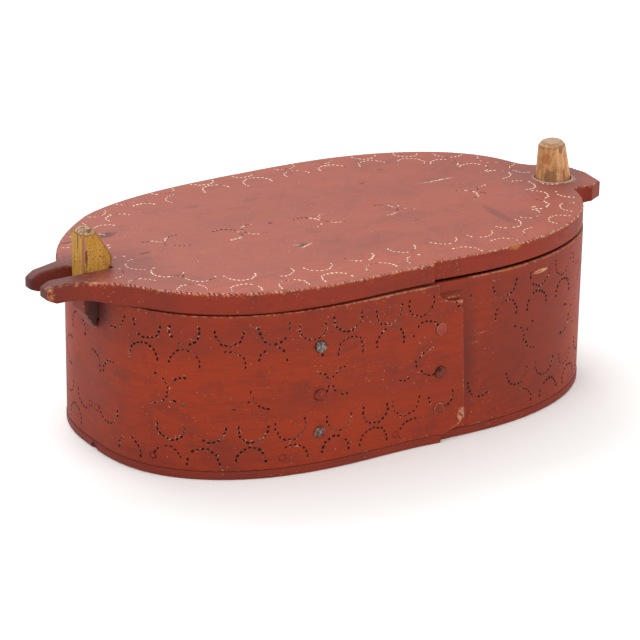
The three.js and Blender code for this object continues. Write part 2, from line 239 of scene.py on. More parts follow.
def ovalRadius(angle):
    along = np.abs(np.cos(angle)) / oval['halfLength']
    across = np.abs(np.sin(angle)) / oval['halfWidth']
    stray = 0
    for waves, (cosine, sine) in enumerate(oval['unevenness'], 1):
        stray = stray + (cosine * np.cos(waves * angle) + sine * np.sin(waves * angle)) / 100
    power = oval['squareness']
    return (1 + stray) * (along ** power + across ** power) ** (-1 / power)


def ovalNormal(angle):
    turn = 1e-4    # radians
    slope = (ovalRadius(angle + turn) - ovalRadius(angle - turn)) / (2 * turn)
    radius = ovalRadius(angle)
    normal = np.stack([radius * np.cos(angle) + slope * np.sin(angle),
                       radius * np.sin(angle) - slope * np.cos(angle)], -1)
    return normal / np.linalg.norm(normal, axis=-1, keepdims=True)


def ovalPoint(angle, grow=0):
    angle = np.asarray(angle, float)
    radius = ovalRadius(angle)
    point = np.stack([radius * np.cos(angle), radius * np.sin(angle)], -1)
    return point + ovalNormal(angle) * np.expand_dims(np.broadcast_to(grow, angle.shape), -1)


fineness = {'search': 3001, 'round': 7201, 'wrap': 12001}   # points that a curve is measured on


@lru_cache(None)
def angleWhere(axis, place, start, end):
    angles = np.linspace(start, end, fineness['search'])
    places = ovalPoint(angles)[:, axis]
    order = np.argsort(places)
    return float(np.interp(place, places[order], angles[order]))


def frontAngle(x):
    return angleWhere(0, x, math.pi, 2 * math.pi)


def rightAngle(y):
    return angleWhere(1, y, -math.pi / 2, math.pi / 2)


def leftAngle(y):
    return angleWhere(1, y, math.pi / 2, 3 * math.pi / 2)


def smooth(value, low, high):
    part = np.clip((value - low) / (high - low), 0, 1)
    return part * part * (3 - 2 * part)


def runAlong(points):    # length of a line up to each of its points
    return np.concatenate([[0], np.cumsum(np.hypot(*np.diff(points, axis=0).T))])


# Cuts are given back from the outer end, and down from the top edge or up from the bottom
bent = {
    'thickness': 3, 'inset': 0.6, 'innerEnd': -84, 'outerEnd': 29, 'layerGap': 0.3,
    'rampAngle': 2, 'rampRest': 3, 'lean': 3.5, 'bottomCut': [(13, 0), (4, 3.4), (0, 8)],
    'topCut': [(0, 11.2), (4, 11.4), (8, 10.8), (12, 8.8), (14.8, 6.3), (15.6, 0)],
    'notchDepth': 16.5, 'rounding': 0.55, 'spacing': 2.3, 'outlineStep': 1.8,
    'hangs': 1.3,   # how far its lower edge comes down over the rounded edge of the base
}
lowest, highest = (np.array(corner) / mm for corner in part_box('band'))
bandBottom, bandTop = lowest[2] - bent['hangs'], highest[2]
lidBottom, lidTop = (corner[2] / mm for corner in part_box('lid'))
lapStep = bent['thickness'] + bent['layerGap']
stripStart = frontAngle(bent['innerEnd'])
stripEnd = frontAngle(bent['outerEnd']) + 2 * math.pi
rampStart = 3 * math.pi + math.radians(bent['rampAngle'])
rampEnd = stripStart + 2 * math.pi - math.radians(bent['rampRest'])


def stripShift(angle):
    return lapStep * smooth(angle, rampStart, rampEnd)


def outerShift(angle, stepX):    # of the surface that shows, up to the step beside the lap's end
    turned = np.mod(angle, 2 * math.pi)
    lapped = (turned > math.pi) & (turned <= frontAngle(stepX) + 1e-9)
    return np.where(lapped, stripShift(turned + 2 * math.pi), 0)


# Running length round the band's outer face, from the right end, against the sun
roundAngles = np.linspace(0, 2 * math.pi, fineness['round'])
roundFace = ovalPoint(roundAngles, outerShift(roundAngles, bent['outerEnd']) - bent['inset'])
roundRun = runAlong(roundFace)
fullRun = roundRun[-1]


def bandSurface(run, height):    # a point on the band's outer face, and its angle
    angle = np.interp(np.mod(run, fullRun), roundRun, roundAngles)
    grow = outerShift(angle, bent['outerEnd']) - bent['inset']
    return np.append(ovalPoint(angle, grow), height), angle


# Boards: an outline of closed loops, with the wood on the left, becomes a closed body with
# rounded arrises and an even net of points on both faces

def evenly(points, step):
    points = np.asarray(points, float)
    run = runAlong(points)
    where = np.linspace(0, run[-1], max(1, round(run[-1] / step)) + 1)[:-1]
    return np.stack([np.interp(where, run, points[:, axis]) for axis in (0, 1)], -1)


def looped(stretches, step):
    return np.concatenate([evenly(stretch, step) for stretch in stretches])


def bend(start, turn, end, steps=24):    # a quadratic curve
    t = np.linspace(0, 1, steps + 1)[:, None]
    return (1 - t) ** 2 * np.array(start) + 2 * t * (1 - t) * np.array(turn) + t ** 2 * np.array(end)


def circle(centre, radius, count):    # clockwise, for a hole
    turns = -np.linspace(0, 2 * math.pi, count, endpoint=False)
    return np.stack([centre[0] + radius * np.cos(turns), centre[1] + radius * np.sin(turns)], -1)


def leftOf(direction):
    return np.stack([-direction[:, 1], direction[:, 0]], -1)


def insetLoop(loop, depth):    # one depth, or one for each point
    depth = np.broadcast_to(depth, len(loop))[:, None]
    ahead = np.roll(loop, -1, 0) - loop
    ahead /= np.linalg.norm(ahead, axis=1, keepdims=True)
    inwards = leftOf(ahead) + leftOf(np.roll(ahead, 1, 0))
    inwards /= np.linalg.norm(inwards, axis=1, keepdims=True)
    lean = (inwards * leftOf(ahead)).sum(1, keepdims=True)
    return loop + inwards * depth / np.maximum(lean, 0.6)


def edgeDistance(points, loops, batch=2000):    # in batches, to spare memory
    nearest = np.full(len(points), 1e9)
    for loop in loops:
        side = np.roll(loop, -1, 0) - loop
        for first in range(0, len(points), batch):
            towards = points[first:first + batch, None] - loop
            part = np.clip((towards * side).sum(-1) / (side * side).sum(-1), 0, 1)
            apart = np.linalg.norm(towards - part[..., None] * side, axis=-1).min(1)
            nearest[first:first + batch] = np.minimum(nearest[first:first + batch], apart)
    return nearest


def insideLoops(points, loops):    # in the outline and not in a hole
    inside = np.zeros(len(points), bool)
    x, y = points.T
    for loop in loops:
        for (ax, ay), (bx, by) in zip(loop, np.roll(loop, -1, 0)):
            crossing = (ay > y) != (by > y)
            if crossing.any():
                inside ^= crossing & (x < (bx - ax) * (y - ay) / (by - ay) + ax)
    return inside


def net(loops, spacing):    # points inside the loops, in staggered rows
    low = np.min([loop.min(0) for loop in loops], 0)
    high = np.max([loop.max(0) for loop in loops], 0)
    rows = np.arange(low[1], high[1], spacing * 0.87)
    columns = np.arange(low[0], high[0], spacing)
    grid = np.array([(x + (row % 2) * spacing / 2, y)
                     for row, y in enumerate(rows) for x in columns])
    grid = grid[insideLoops(grid, loops)]
    return grid[edgeDistance(grid, loops) > spacing * 0.55]


def sideFaces(first, count, rows):    # between rings of points that follow each other
    faces = []
    for row in range(1, rows):
        upper, lower = first + (row - 1) * count, first + row * count
        for i in range(count):
            j = (i + 1) % count
            faces.append((upper + i, lower + i, lower + j, upper + j))
    return faces


arrisTurns = np.radians([90, 67.5, 45, 22.5, 0])


def sideProfile(thickness, above, below, sideRows):    # how far in and down each row lies
    profile = [(above * (1 - math.cos(turn)), above * (1 - math.sin(turn))) for turn in arrisTurns]
    for share in np.linspace(0, 1, sideRows + 2)[1:-1]:
        profile.append((0 * above, above + (thickness - above - below) * share))
    for turn in arrisTurns[::-1]:
        profile.append((below * (1 - math.cos(turn)), thickness - below * (1 - math.sin(turn))))
    return profile


def fillRings(rings, spacing):    # new points inside them, and triangles over all points
    inner = net(rings, spacing)
    flat = np.concatenate([*rings, inner])
    fences, start = [], 0
    for ring in rings:
        fences += [(start + i, start + (i + 1) % len(ring)) for i in range(len(ring))]
        start += len(ring)
    points = [Vector(point) for point in flat]
    _, _, triangles, origin, _, _ = delaunay_2d_cdt(points, fences, [], 1, 1e-6)
    source = np.array([where[0] for where in origin])
    triangles = source[np.array([tuple(corners) for corners in triangles])]
    return inner, triangles[insideLoops(flat[triangles].mean(1), rings)]


def board(loops, thickness, topRounds, bottomRounds, spacing, sideRows):    # rounds: one a loop
    plan, depth, faces, rings, top, bottom, total = [], [], [], [], [], [], 0
    for loop, *rounds in zip(loops, topRounds, bottomRounds):
        count = len(loop)
        above, below = (np.broadcast_to(rounding, count) for rounding in rounds)
        profile = sideProfile(thickness, above, below, sideRows)
        for inwards, down in profile:
            plan.append(insetLoop(loop, inwards))
            depth.append(down)
        faces += sideFaces(total, count, len(profile))
        top.append(np.arange(total, total + count))
        total += count * len(profile)
        bottom.append(np.arange(total - count, total))
        rings.append(insetLoop(loop, np.maximum(above, below)))
    inner, triangles = fillRings(rings, spacing)
    for face, down in ((top, 0.0), (bottom, thickness)):
        face.append(np.arange(total, total + len(inner)))
        total += len(inner)
        plan.append(inner)
        depth.append(np.full(len(inner), down))
    faces += [tuple(corners) for corners in np.concatenate(top)[triangles].tolist()]
    faces += [tuple(corners[::-1]) for corners in np.concatenate(bottom)[triangles].tolist()]
    return np.concatenate(plan), np.concatenate(depth), faces


def addPiece(name, points, faces):
    mesh = bpy.data.meshes.new(name)
    mesh.from_pydata((np.asarray(points) * mm).tolist(), [], faces)
    mesh.validate()
    piece = bpy.data.objects.new(name, mesh)
    bpy.context.collection.objects.link(piece)
    return piece


def pointValues(piece, key):
    flat = np.empty(len(piece.data.vertices) * 3)
    piece.data.vertices.foreach_get(key, flat)
    return flat.reshape(-1, 3)


def pointsOf(piece):    # in mm
    return pointValues(piece, 'co') / mm


def movePoints(piece, points):
    piece.data.vertices.foreach_set('co', (points * mm).ravel())
    piece.data.update()


def writeMark(piece, name, values):
    mark = piece.data.attributes.new(name, 'FLOAT', 'POINT')
    mark.data.foreach_set('value', np.asarray(values, np.float32))


def settle(piece):    # makes the modifiers real
    graph = bpy.context.evaluated_depsgraph_get()
    made = bpy.data.meshes.new_from_object(piece.evaluated_get(graph))
    old = piece.data
    piece.modifiers.clear()
    piece.data = made
    made.name = piece.name
    bpy.data.meshes.remove(old)


def joined(piece, tool, operation):
    cut = piece.modifiers.new('cut', 'BOOLEAN')
    cut.solver = 'MANIFOLD'
    cut.operation = operation
    cut.object = tool
    settle(piece)
    bpy.data.objects.remove(tool)


def coat(piece, *materials):
    for material in materials:
        piece.data.materials.append(material)


def dress(piece, body, node, sharp=32):
    piece.data.shade_smooth()
    piece.data.set_sharp_from_angle(angle=math.radians(sharp))
    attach(piece, body)
    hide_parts(node)


def softNoise(points, size, shift):    # between -1 and 1 at each point
    scaled = np.asarray(points) / size + shift
    return np.array([noise.noise(point) for point in scaled.tolist()])


# Chisels: small closed shapes that are cut out of a piece, gathered into one tool

class Chisel:
    def __init__(self, name, material):
        self.name = name
        self.material = material    # index of the cut's own material
        self.points = []
        self.faces = []
        self.places = []

    def loft(self, rings):    # each ring a list of points, from the outer end inwards
        first = len(self.points)
        count = len(rings[0])
        for ring in rings:
            self.points += [tuple(point) for point in ring]
        self.faces += sideFaces(first, count, len(rings))
        self.faces.append(tuple(first + i for i in range(count)))
        last = first + (len(rings) - 1) * count
        self.faces.append(tuple(last + i for i in reversed(range(count))))

    # An oval dent whose floor is smaller than its mouth; the tool stands tall above the face
    def dent(self, centre, along, out, length, width, depth, floor, sides, tall):
        centre, along, out = (np.asarray(value, float) for value in (centre, along, out))
        along = along - out * along.dot(out)
        along /= np.linalg.norm(along)
        across = np.cross(out, along)
        turns = np.linspace(0, 2 * math.pi, sides, endpoint=False)
        rings = []
        for size, rise in ((1, tall), (1, 0.02), (0.82, -depth * 0.6), (floor, -depth)):
            rings.append([centre + out * rise + along * math.cos(turn) * size * length / 2
                          + across * math.sin(turn) * size * width / 2 for turn in turns])
        self.loft(rings)

    def free(self, centre, apart):
        if self.places and np.linalg.norm(np.array(self.places) - centre, axis=1).min() < apart:
            return False
        self.places.append(centre)
        return True

    def cut(self, piece):
        if not self.faces:
            return
        tool = addPiece(self.name, self.points, self.faces)
        for index in range(self.material + 1):
            tool.data.materials.append(piece.data.materials[index])
        tool.data.polygons.foreach_set('material_index', [self.material] * len(tool.data.polygons))
        joined(piece, tool, 'DIFFERENCE')


# Finishes

bandRed = {
    'base': (0.212, 0.027, 0.012, 1), 'bright': (0.31, 0.034, 0.009, 1),
    'dull': (0.132, 0.024, 0.017, 1), 'dark': (0.022, 0.010, 0.008, 1),
    'worn': (0.42, 0.17, 0.10, 1), 'fleck': (0.58, 0.33, 0.22, 1), 'rough': 0.42, 'shine': 0.12,
}
# the lid's top: a paler, pinker red, with its sheen painted into the colour
lidRedWithSheen = {
    'base': (0.305, 0.072, 0.047, 1), 'bright': (0.36, 0.084, 0.050, 1),
    'dull': (0.200, 0.056, 0.045, 1), 'dark': (0.035, 0.014, 0.012, 1),
    'worn': (0.46, 0.22, 0.13, 1), 'fleck': (0.74, 0.58, 0.45, 1), 'rough': 0.44, 'shine': 0.2,
}
rimRed = {   # the lid's edge
    **bandRed, 'base': (0.19, 0.024, 0.013, 1), 'bright': (0.23, 0.028, 0.013, 1),
    'worn': (0.50, 0.20, 0.09, 1), 'fleck': (0.62, 0.36, 0.22, 1),
}
footRed = {   # the base
    **bandRed, 'base': (0.17, 0.025, 0.016, 1), 'bright': (0.21, 0.028, 0.014, 1),
    'worn': (0.28, 0.10, 0.06, 1),
}
rawWood = (0.72, 0.36, 0.17, 1)
tannedWood = (0.38, 0.125, 0.035, 1)
timber = {
    'light': (0.62, 0.36, 0.17, 1), 'deep': (0.40, 0.19, 0.075, 1), 'pore': (0.20, 0.08, 0.03, 1),
}


# Red paint on wood, worn, chipped, dirty and darkened by painted shade where a piece's marks
# say so. Grain is how the streaks are stretched: the least along the grain
def redWood(name, look, grain, patches=()):
    paint = Paint(name)
    broad = paint.cloud(60, grain, 2)
    streak = paint.cloud(2.4, grain, 5, 0.65)
    blotch = paint.cloud(15, (1, 1, 1), 4, 0.62, 3)
    wide = paint.cloud(34, (0.7, 1, 1), 3, 0.6, 15)
    fine = paint.cloud(1.3, (1, 1, 1), 3, 0.6, 7)
    wander = paint.cloud(2.2, (1, 1, 1), 3, 0.7, 11)
    colour = paint.mix((broad * 0.5 + streak * 0.5).between(0.40, 0.60), look['base'], look['bright'])
    colour = paint.mix(streak.between(0.50, 0.74) * 0.6, colour, look['dull'])
    colour = paint.mix(blotch.between(0.48, 0.74) * 0.5, colour, look['dull'])
    colour = paint.mix(wide.between(0.50, 0.70) * 0.4, colour, look['dull'])
    colour = paint.mix(fine.between(0.66, 0.73) * 0.75, colour, look['dark'])
    pale = paint.cloud(1.1, (1, 1, 1), 2, 0.5, 19).between(0.70, 0.745)
    colour = paint.mix(pale * blotch.between(0.44, 0.54) * 0.7, colour, look['fleck'])
    worn = (paint.mark('wear') + (wander - 0.5) * 1.5).between(0.5, 0.85)
    colour = paint.mix(worn * 0.85, colour, look['worn'])
    halo = (paint.mark('halo') + (fine - 0.5) * 3).between(0.75, 1.1)
    colour = paint.mix(halo * 0.75, colour, look['fleck'])
    # the grime_and_shade mark: dirt, and painted shade in seams, hollows and under edges
    grime_and_shade = (paint.mark('grime_and_shade') + (wander - 0.5) * 0.5).between(0.25, 1.0)
    colour = paint.mix(grime_and_shade * 0.85, colour, look['dark'])
    colour = paint.patched(colour, patches, wander, fine)
    rough = look['rough'] + streak * 0.16 + worn * 0.25 + grime_and_shade * 0.3
    normal = paint.bump(streak, 0.12, 0.5)
    normal = paint.bump(blotch, 0.6, 0.3, normal)
    normal = paint.bump(worn, 0.15, 0.4, normal)
    return paint.finish(colour, rough, normal, IOR=1.46, Specular_IOR_Level=look['shine'])


def plainWood(name, grain):
    paint = Paint(name)
    rings = paint.cloud(3.2, grain, 5, 0.6)
    pores = paint.cloud(0.7, grain, 3, 0.6, 5)
    stain = paint.cloud(40, (1, 1, 1), 3, 0.5, 9)
    colour = paint.mix(rings.between(0.35, 0.7), timber['light'], timber['deep'])
    colour = paint.mix(pores.between(0.55, 0.8) * 0.4, colour, timber['pore'])
    colour = paint.mix(stain.between(0.45, 0.8) * 0.5, colour, timber['deep'])
    normal = paint.bump(rings, 0.15, 0.5)
    return paint.finish(colour, 0.62 + pores * 0.2, normal)


# What fills the punched marks: one tone in some places and another in the rest
def markFill(name, first, second, share):
    paint = Paint(name)
    which = paint.cloud(9, (1, 1, 1), 2, 0.5, 23)
    tone = paint.cloud(0.9, (1, 1, 1), 3, 0.6, 31)
    colour = paint.mix(which.between(share - 0.03, share + 0.03), first, second)
    colour = paint.mix(tone.between(0.4, 0.8) * 0.45, colour, bandRed['dull'])
    return paint.finish(colour, 0.7 + tone * 0.15, Specular_IOR_Level=0.2)


darkFill = markFill('dark_punch_fill', (0.010, 0.007, 0.007, 1), (0.16, 0.065, 0.04, 1), 0.60)
creamFill = markFill('cream_punch_fill', (0.95, 0.85, 0.70, 1), (0.13, 0.045, 0.035, 1), 0.60)
mixedFill = markFill('mixed_punch_fill', (0.86, 0.74, 0.56, 1), (0.07, 0.028, 0.022, 1), 0.50)
bareInside = plainWood('bare_inside', (0.1, 0.1, 1))
bareUnder = plainWood('bare_underside', (0.08, 1, 1))
print('finishes for marks and bare wood made')


# Lid: one board with a tab and a round hole at one end, a fork and a slot at the other

postLine = -5
catchWidth = 13.6
lidShape = {   # mm; ends of the outline are given as pairs: out past the oval's end, back
    'inset': 1.2, 'stepX': 7, 'thickness': lidTop - lidBottom, 'spacing': 2.2, 'outlineStep': 1.5,
    'topRound': 1.1, 'bottomRound': 1.6, 'tipRound': 1.4, 'holeRound': 0.8, 'tipTurns': (3, 22),
    'tipLength': 13, 'tipEase': 2, 'frontGap': 0.9,
    'tabCorners': [(9.5, -25.7), (19, -20.6), (21.8, -2.8), (20, 8.5), (3, 25.1)],
    'tabFrontHollow': (3, -21), 'tabBackHollow': (-3, 30), 'tabBackRoot': 38, 'tabFrontRoot': -25.5,
    'tabThinning': 2.2,
    'forkBackCorners': [(11, 18.3), (34.7, 10)],
    'forkFrontCorners': [(34.7, -17.3), (23, -17.2), (16.5, -18.6), (11, -22.4), (3.5, -28)],
    'forkShoulder': (-2.9, 50.9), 'forkFrontHollow': (-4, -33), 'forkFrontRoot': -50,
    'shoulderAngle': 149, 'slotTipBack': 2.6, 'prongThinning': 1.8,
    'tipBevel': 6, 'tipBevelTop': 2.6, 'tipBevelBottom': 4.6,
    'slotGap': 0.3, 'slotEnd': -146.4, 'slotNarrows': -172.4, 'hole': 11.05,
    'warp': (0.3, 75, 4.2), 'ripple': (0.08, 17, 1.7),   # height, length and shift of the waves
    'underRipple': (0.12, 45, 6.4),
    'paintedUnder': 5,   # the paint comes this far in under the lid
}
lidFace = {'top': 0, 'punch': 1, 'under': 2, 'edge': 3, 'centrePunch': 4}   # its materials, in order
rightEnd = ovalPoint(rightAngle(postLine))[0]
leftEnd = -ovalPoint(leftAngle(postLine))[0]
pegCentre = np.array([rightEnd - bent['inset'], postLine])


def atTab(out, back):
    return rightEnd + out, postLine + back


def atFork(out, back):
    return -leftEnd - out, postLine + back


def lidStretches(shape):    # the outline in pieces, against the sun from the tab's back root
    tab = [atTab(*corner) for corner in shape['tabCorners']]
    backFork = [atFork(*corner) for corner in shape['forkBackCorners']]
    frontFork = [atFork(*corner) for corner in shape['forkFrontCorners']]
    half = catchWidth / 2 + shape['slotGap']
    tip = backFork[1][0]
    backAngles = np.linspace(rightAngle(postLine + shape['tabBackRoot']),
                             math.radians(shape['shoulderAngle']), 400)
    back = ovalPoint(backAngles, -shape['inset'])
    step = frontAngle(shape['stepX'])
    leftAngles = np.linspace(leftAngle(postLine + shape['forkFrontRoot']), step, 400)
    left = ovalPoint(leftAngles, -shape['inset'] + stripShift(leftAngles + 2 * math.pi))
    rightAngles = np.linspace(step, 2 * math.pi + rightAngle(postLine + shape['tabFrontRoot']), 300)
    right = ovalPoint(rightAngles, -shape['inset'])
    slot = [(tip, postLine + shape['slotTipBack']), (shape['slotNarrows'], postLine + half),
            (shape['slotEnd'], postLine + half), (shape['slotEnd'], postLine - half),
            (tip, postLine - half), frontFork[0]]
    return {
        'back': back, 'shoulder': bend(back[-1], atFork(*shape['forkShoulder']), backFork[0]),
        'prongs': [backFork, (backFork[1], slot[0]), *zip(slot, slot[1:]),
                   *zip(frontFork, frontFork[1:])],
        'frontHollow': bend(frontFork[-1], atFork(*shape['forkFrontHollow']), left[0]),
        'left': left, 'step': [left[-1], right[0]], 'right': right,
        'tabFront': bend(right[-1], atTab(*shape['tabFrontHollow']), tab[0]),
        'tab': [*zip(tab, tab[1:])],
        'tabBack': bend(tab[-1], atTab(*shape['tabBackHollow']), back[0]),
    }


lidEdges = lidStretches(lidShape)


def lidTopAt(x, y):    # height of the lid's top, a little warped
    plan = np.stack([np.atleast_1d(x), np.atleast_1d(y), np.zeros(np.size(x))], -1)
    warp, warpLength, warpShift = lidShape['warp']
    ripple, rippleLength, rippleShift = lidShape['ripple']
    return (lidTop + warp * softNoise(plan, warpLength, warpShift)
            + ripple * softNoise(plan, rippleLength, rippleShift))


def lidLoops():
    stretches = [lidEdges['back'], lidEdges['shoulder'], *lidEdges['prongs'], lidEdges['frontHollow'],
                 lidEdges['left'], lidEdges['step'], lidEdges['right'], lidEdges['tabFront'],
                 *lidEdges['tab'], lidEdges['tabBack']]
    outline = looped(stretches, lidShape['outlineStep'])
    tips = outline[:, 0] < -leftEnd - lidShape['tipLength']
    for _ in range(lidShape['tipEase']):
        eased = outline / 2 + (np.roll(outline, 1, 0) + np.roll(outline, -1, 0)) / 4
        outline = np.where(tips[:, None], eased, outline)
    return [outline, circle(pegCentre, lidShape['hole'], 44)]


def lidRounds(loops, plain):    # of the outline, rounder towards the prongs, and of the hole
    x = loops[0][:, 0]
    tip = smooth(-x, *(leftEnd + past for past in lidShape['tipTurns']))
    return [plain + (lidShape['tipRound'] - plain) * tip, lidShape['holeRound']]


def lidPoints(plan, depth):
    x, y = plan.T
    shape = lidShape
    forkTip = -leftEnd - shape['forkBackCorners'][1][0]
    bevelEnd = forkTip + shape['tipBevel']
    prongRoot = -leftEnd - shape['forkBackCorners'][0][0]
    bevel = np.clip((bevelEnd - x) / shape['tipBevel'], 0, 1)
    top = lidTopAt(x, y) - shape['tipBevelTop'] * bevel
    stations = [forkTip, bevelEnd, prongRoot, -leftEnd, rightEnd, rightEnd + shape['tabCorners'][0][0]]
    thin = np.interp(x, stations, [shape['tipBevelBottom'], shape['prongThinning'],
                                   shape['prongThinning'], 0, 0, shape['tabThinning']])
    rise = shape['frontGap'] * smooth(x, -110, 0) * smooth(-y, 40, 80)
    ripple, length, shift = shape['underRipple']
    level = np.column_stack([x, y, depth * 0])
    under = lidBottom + thin + rise + ripple * (1 + softNoise(level, length, shift))
    return np.stack([x, y, top - depth / shape['thickness'] * (top - under)], -1)


nicks = {
    'pitch': 2.9, 'slant': 50, 'length': 4.2, 'width': 1.1, 'depth': 0.55, 'in': 0.45, 'stray': 0.5,
    'boldTo': -105, 'boldBlur': 25, 'rightBold': (40, 80, 0.6),   # the bold ones are at both ends
    'faint': 0.62, 'bold': 1.2,
}
diagonal = 0.707   # half way between level and upright


def nickSize(x):
    start, full, share = nicks['rightBold']
    left = smooth(-x, -nicks['boldTo'] - nicks['boldBlur'], -nicks['boldTo'])
    ends = left + share * smooth(x, start, full)
    return nicks['faint'] + (nicks['bold'] - nicks['faint']) * ends


def cutNicks(tool, dice):
    for name in ('back', 'shoulder', 'frontHollow', 'left', 'right', 'tabFront', 'tab', 'tabBack'):
        line = lidEdges[name]
        if name == 'tab':
            line = [point for side in line for point in side]
        places = evenly(line, nicks['pitch'])[1:]
        for place, after in zip(places, places[1:]):
            ahead = (after - place) / np.linalg.norm(after - place)
            out = np.array([ahead[1], -ahead[0]])
            spot = place - out * nicks['in'] + ahead * dice.uniform(-1, 1) * nicks['stray']
            height = lidTopAt(*spot)[0] - nicks['in']
            slant = math.radians(nicks['slant'] + dice.uniform(-9, 9))
            face = np.array([*(out * diagonal), diagonal])
            down = np.array([*(out * diagonal), -diagonal])
            along = np.array([*ahead, 0]) * math.cos(slant) + down * math.sin(slant)
            size = dice.uniform(0.45, 1.2) * nickSize(place[0])
            tool.dent(np.append(spot, height), along, face, nicks['length'] * size,
                      nicks['width'], nicks['depth'] * size, 0.3, 6, 1.2)


# Punched arcs: short dents along part of a circle, its opening turned some way

bandArcs = {'radius': 8.3, 'half': 94, 'dash': 2.4, 'pitch': 2.8, 'width': 1.6, 'depth': 0.65}
lidArcs = {'radius': 8.4, 'half': 94, 'dash': 1.9, 'pitch': 2.65, 'width': 1.05, 'depth': 0.4}
centreArcs = {**lidArcs, 'dash': 2.2, 'width': 1.35, 'depth': 0.5}


# Some dashes are worn away, and some arcs lack their start or their end
def punchArc(tool, surface, middle, opening, dice, keep, arc, worn=0.06):
    radius = arc['radius'] * dice.uniform(0.92, 1.08)
    half = math.radians(arc['half'] + dice.uniform(-10, 10))
    tilt = math.radians(opening + dice.uniform(-6, 6))
    count = round(2 * half * radius / arc['pitch'])
    middle = np.array(middle) + np.array((math.cos(tilt), math.sin(tilt))) * (radius - arc['radius'])
    gone = dice.random()
    weight = dice.uniform(0.65, 1.15)
    for i in range(count + 1):
        share = i / count
        turn = tilt + math.pi - half + 2 * half * share
        lost = (dice.random() < worn or (gone < 0.12 and share < 0.4)
                or (0.12 < gone < 0.22 and share > 0.65))
        stray = radius + dice.uniform(-0.4, 0.4)
        at = (middle[0] + stray * math.cos(turn), middle[1] + stray * math.sin(turn))
        if lost or not keep(*at):
            continue
        centre, along, out = surface(at, turn + math.pi / 2 + math.radians(dice.uniform(-18, 18)))
        if tool.free(centre, arc['dash']):
            length = arc['dash'] * dice.uniform(0.7, 1.1)
            width = arc['width'] * weight * dice.uniform(0.8, 1.15)
            tool.dent(centre, along, out, length, width, arc['depth'], 0.55, 8, 0.4)


lidRing = {
    'pairs': 30, 'first': 434.7,    # along the rim of the lid from its right end
    'inset': 12.4, 'frontMore': 2.6, 'rightMore': 1.4, 'apart': 5.0, 'apartFront': 1.4,
    'centre': [(-102.3, 7.2), (-58, 2.7), (-8.2, -2.5), (43, -5.8), (98.9, -6.7)], 'centreGap': 2.2,
    'clear': 3.2,
}


def onLid(at, direction):
    along = np.array([math.cos(direction), math.sin(direction), 0])
    return np.array([*at, lidTopAt(*at)[0]]), along, np.array([0, 0, 1.0])


def punchLid(tool, centreTool, loops, dice):
    rim = ovalPoint(roundAngles, -lidShape['inset'])
    run = runAlong(rim)
    radius = lidArcs['radius']

    def keep(x, y):
        place = np.array([[x, y]])
        return edgeDistance(place, loops)[0] > lidRing['clear'] and insideLoops(place, loops)[0]

    for i in range(lidRing['pairs']):
        place = lidRing['first'] + i * run[-1] / lidRing['pairs'] + dice.uniform(-1.5, 1.5)
        angle = float(np.interp(place % run[-1], run, roundAngles))
        front, right = math.sin(angle), math.cos(angle)
        inset = lidRing['inset'] - lidRing['frontMore'] * front + lidRing['rightMore'] * right
        apart = lidRing['apart'] - lidRing['apartFront'] * front + dice.uniform(-1.2, 1.2)
        outward = ovalNormal(angle)
        facing = math.degrees(math.atan2(outward[1], outward[0]))
        for out, opening in ((radius - inset, facing), (-inset - apart - radius, facing + 180)):
            punchArc(tool, onLid, ovalPoint(angle, out), opening, dice, keep, lidArcs)
    for x, y in lidRing['centre']:
        for side, opening in ((-1, 180), (1, 0)):
            middle = (x + side * (radius + lidRing['centreGap'] * dice.uniform(0, 1)), y)
            punchArc(centreTool, onLid, middle, opening, dice, keep, centreArcs)


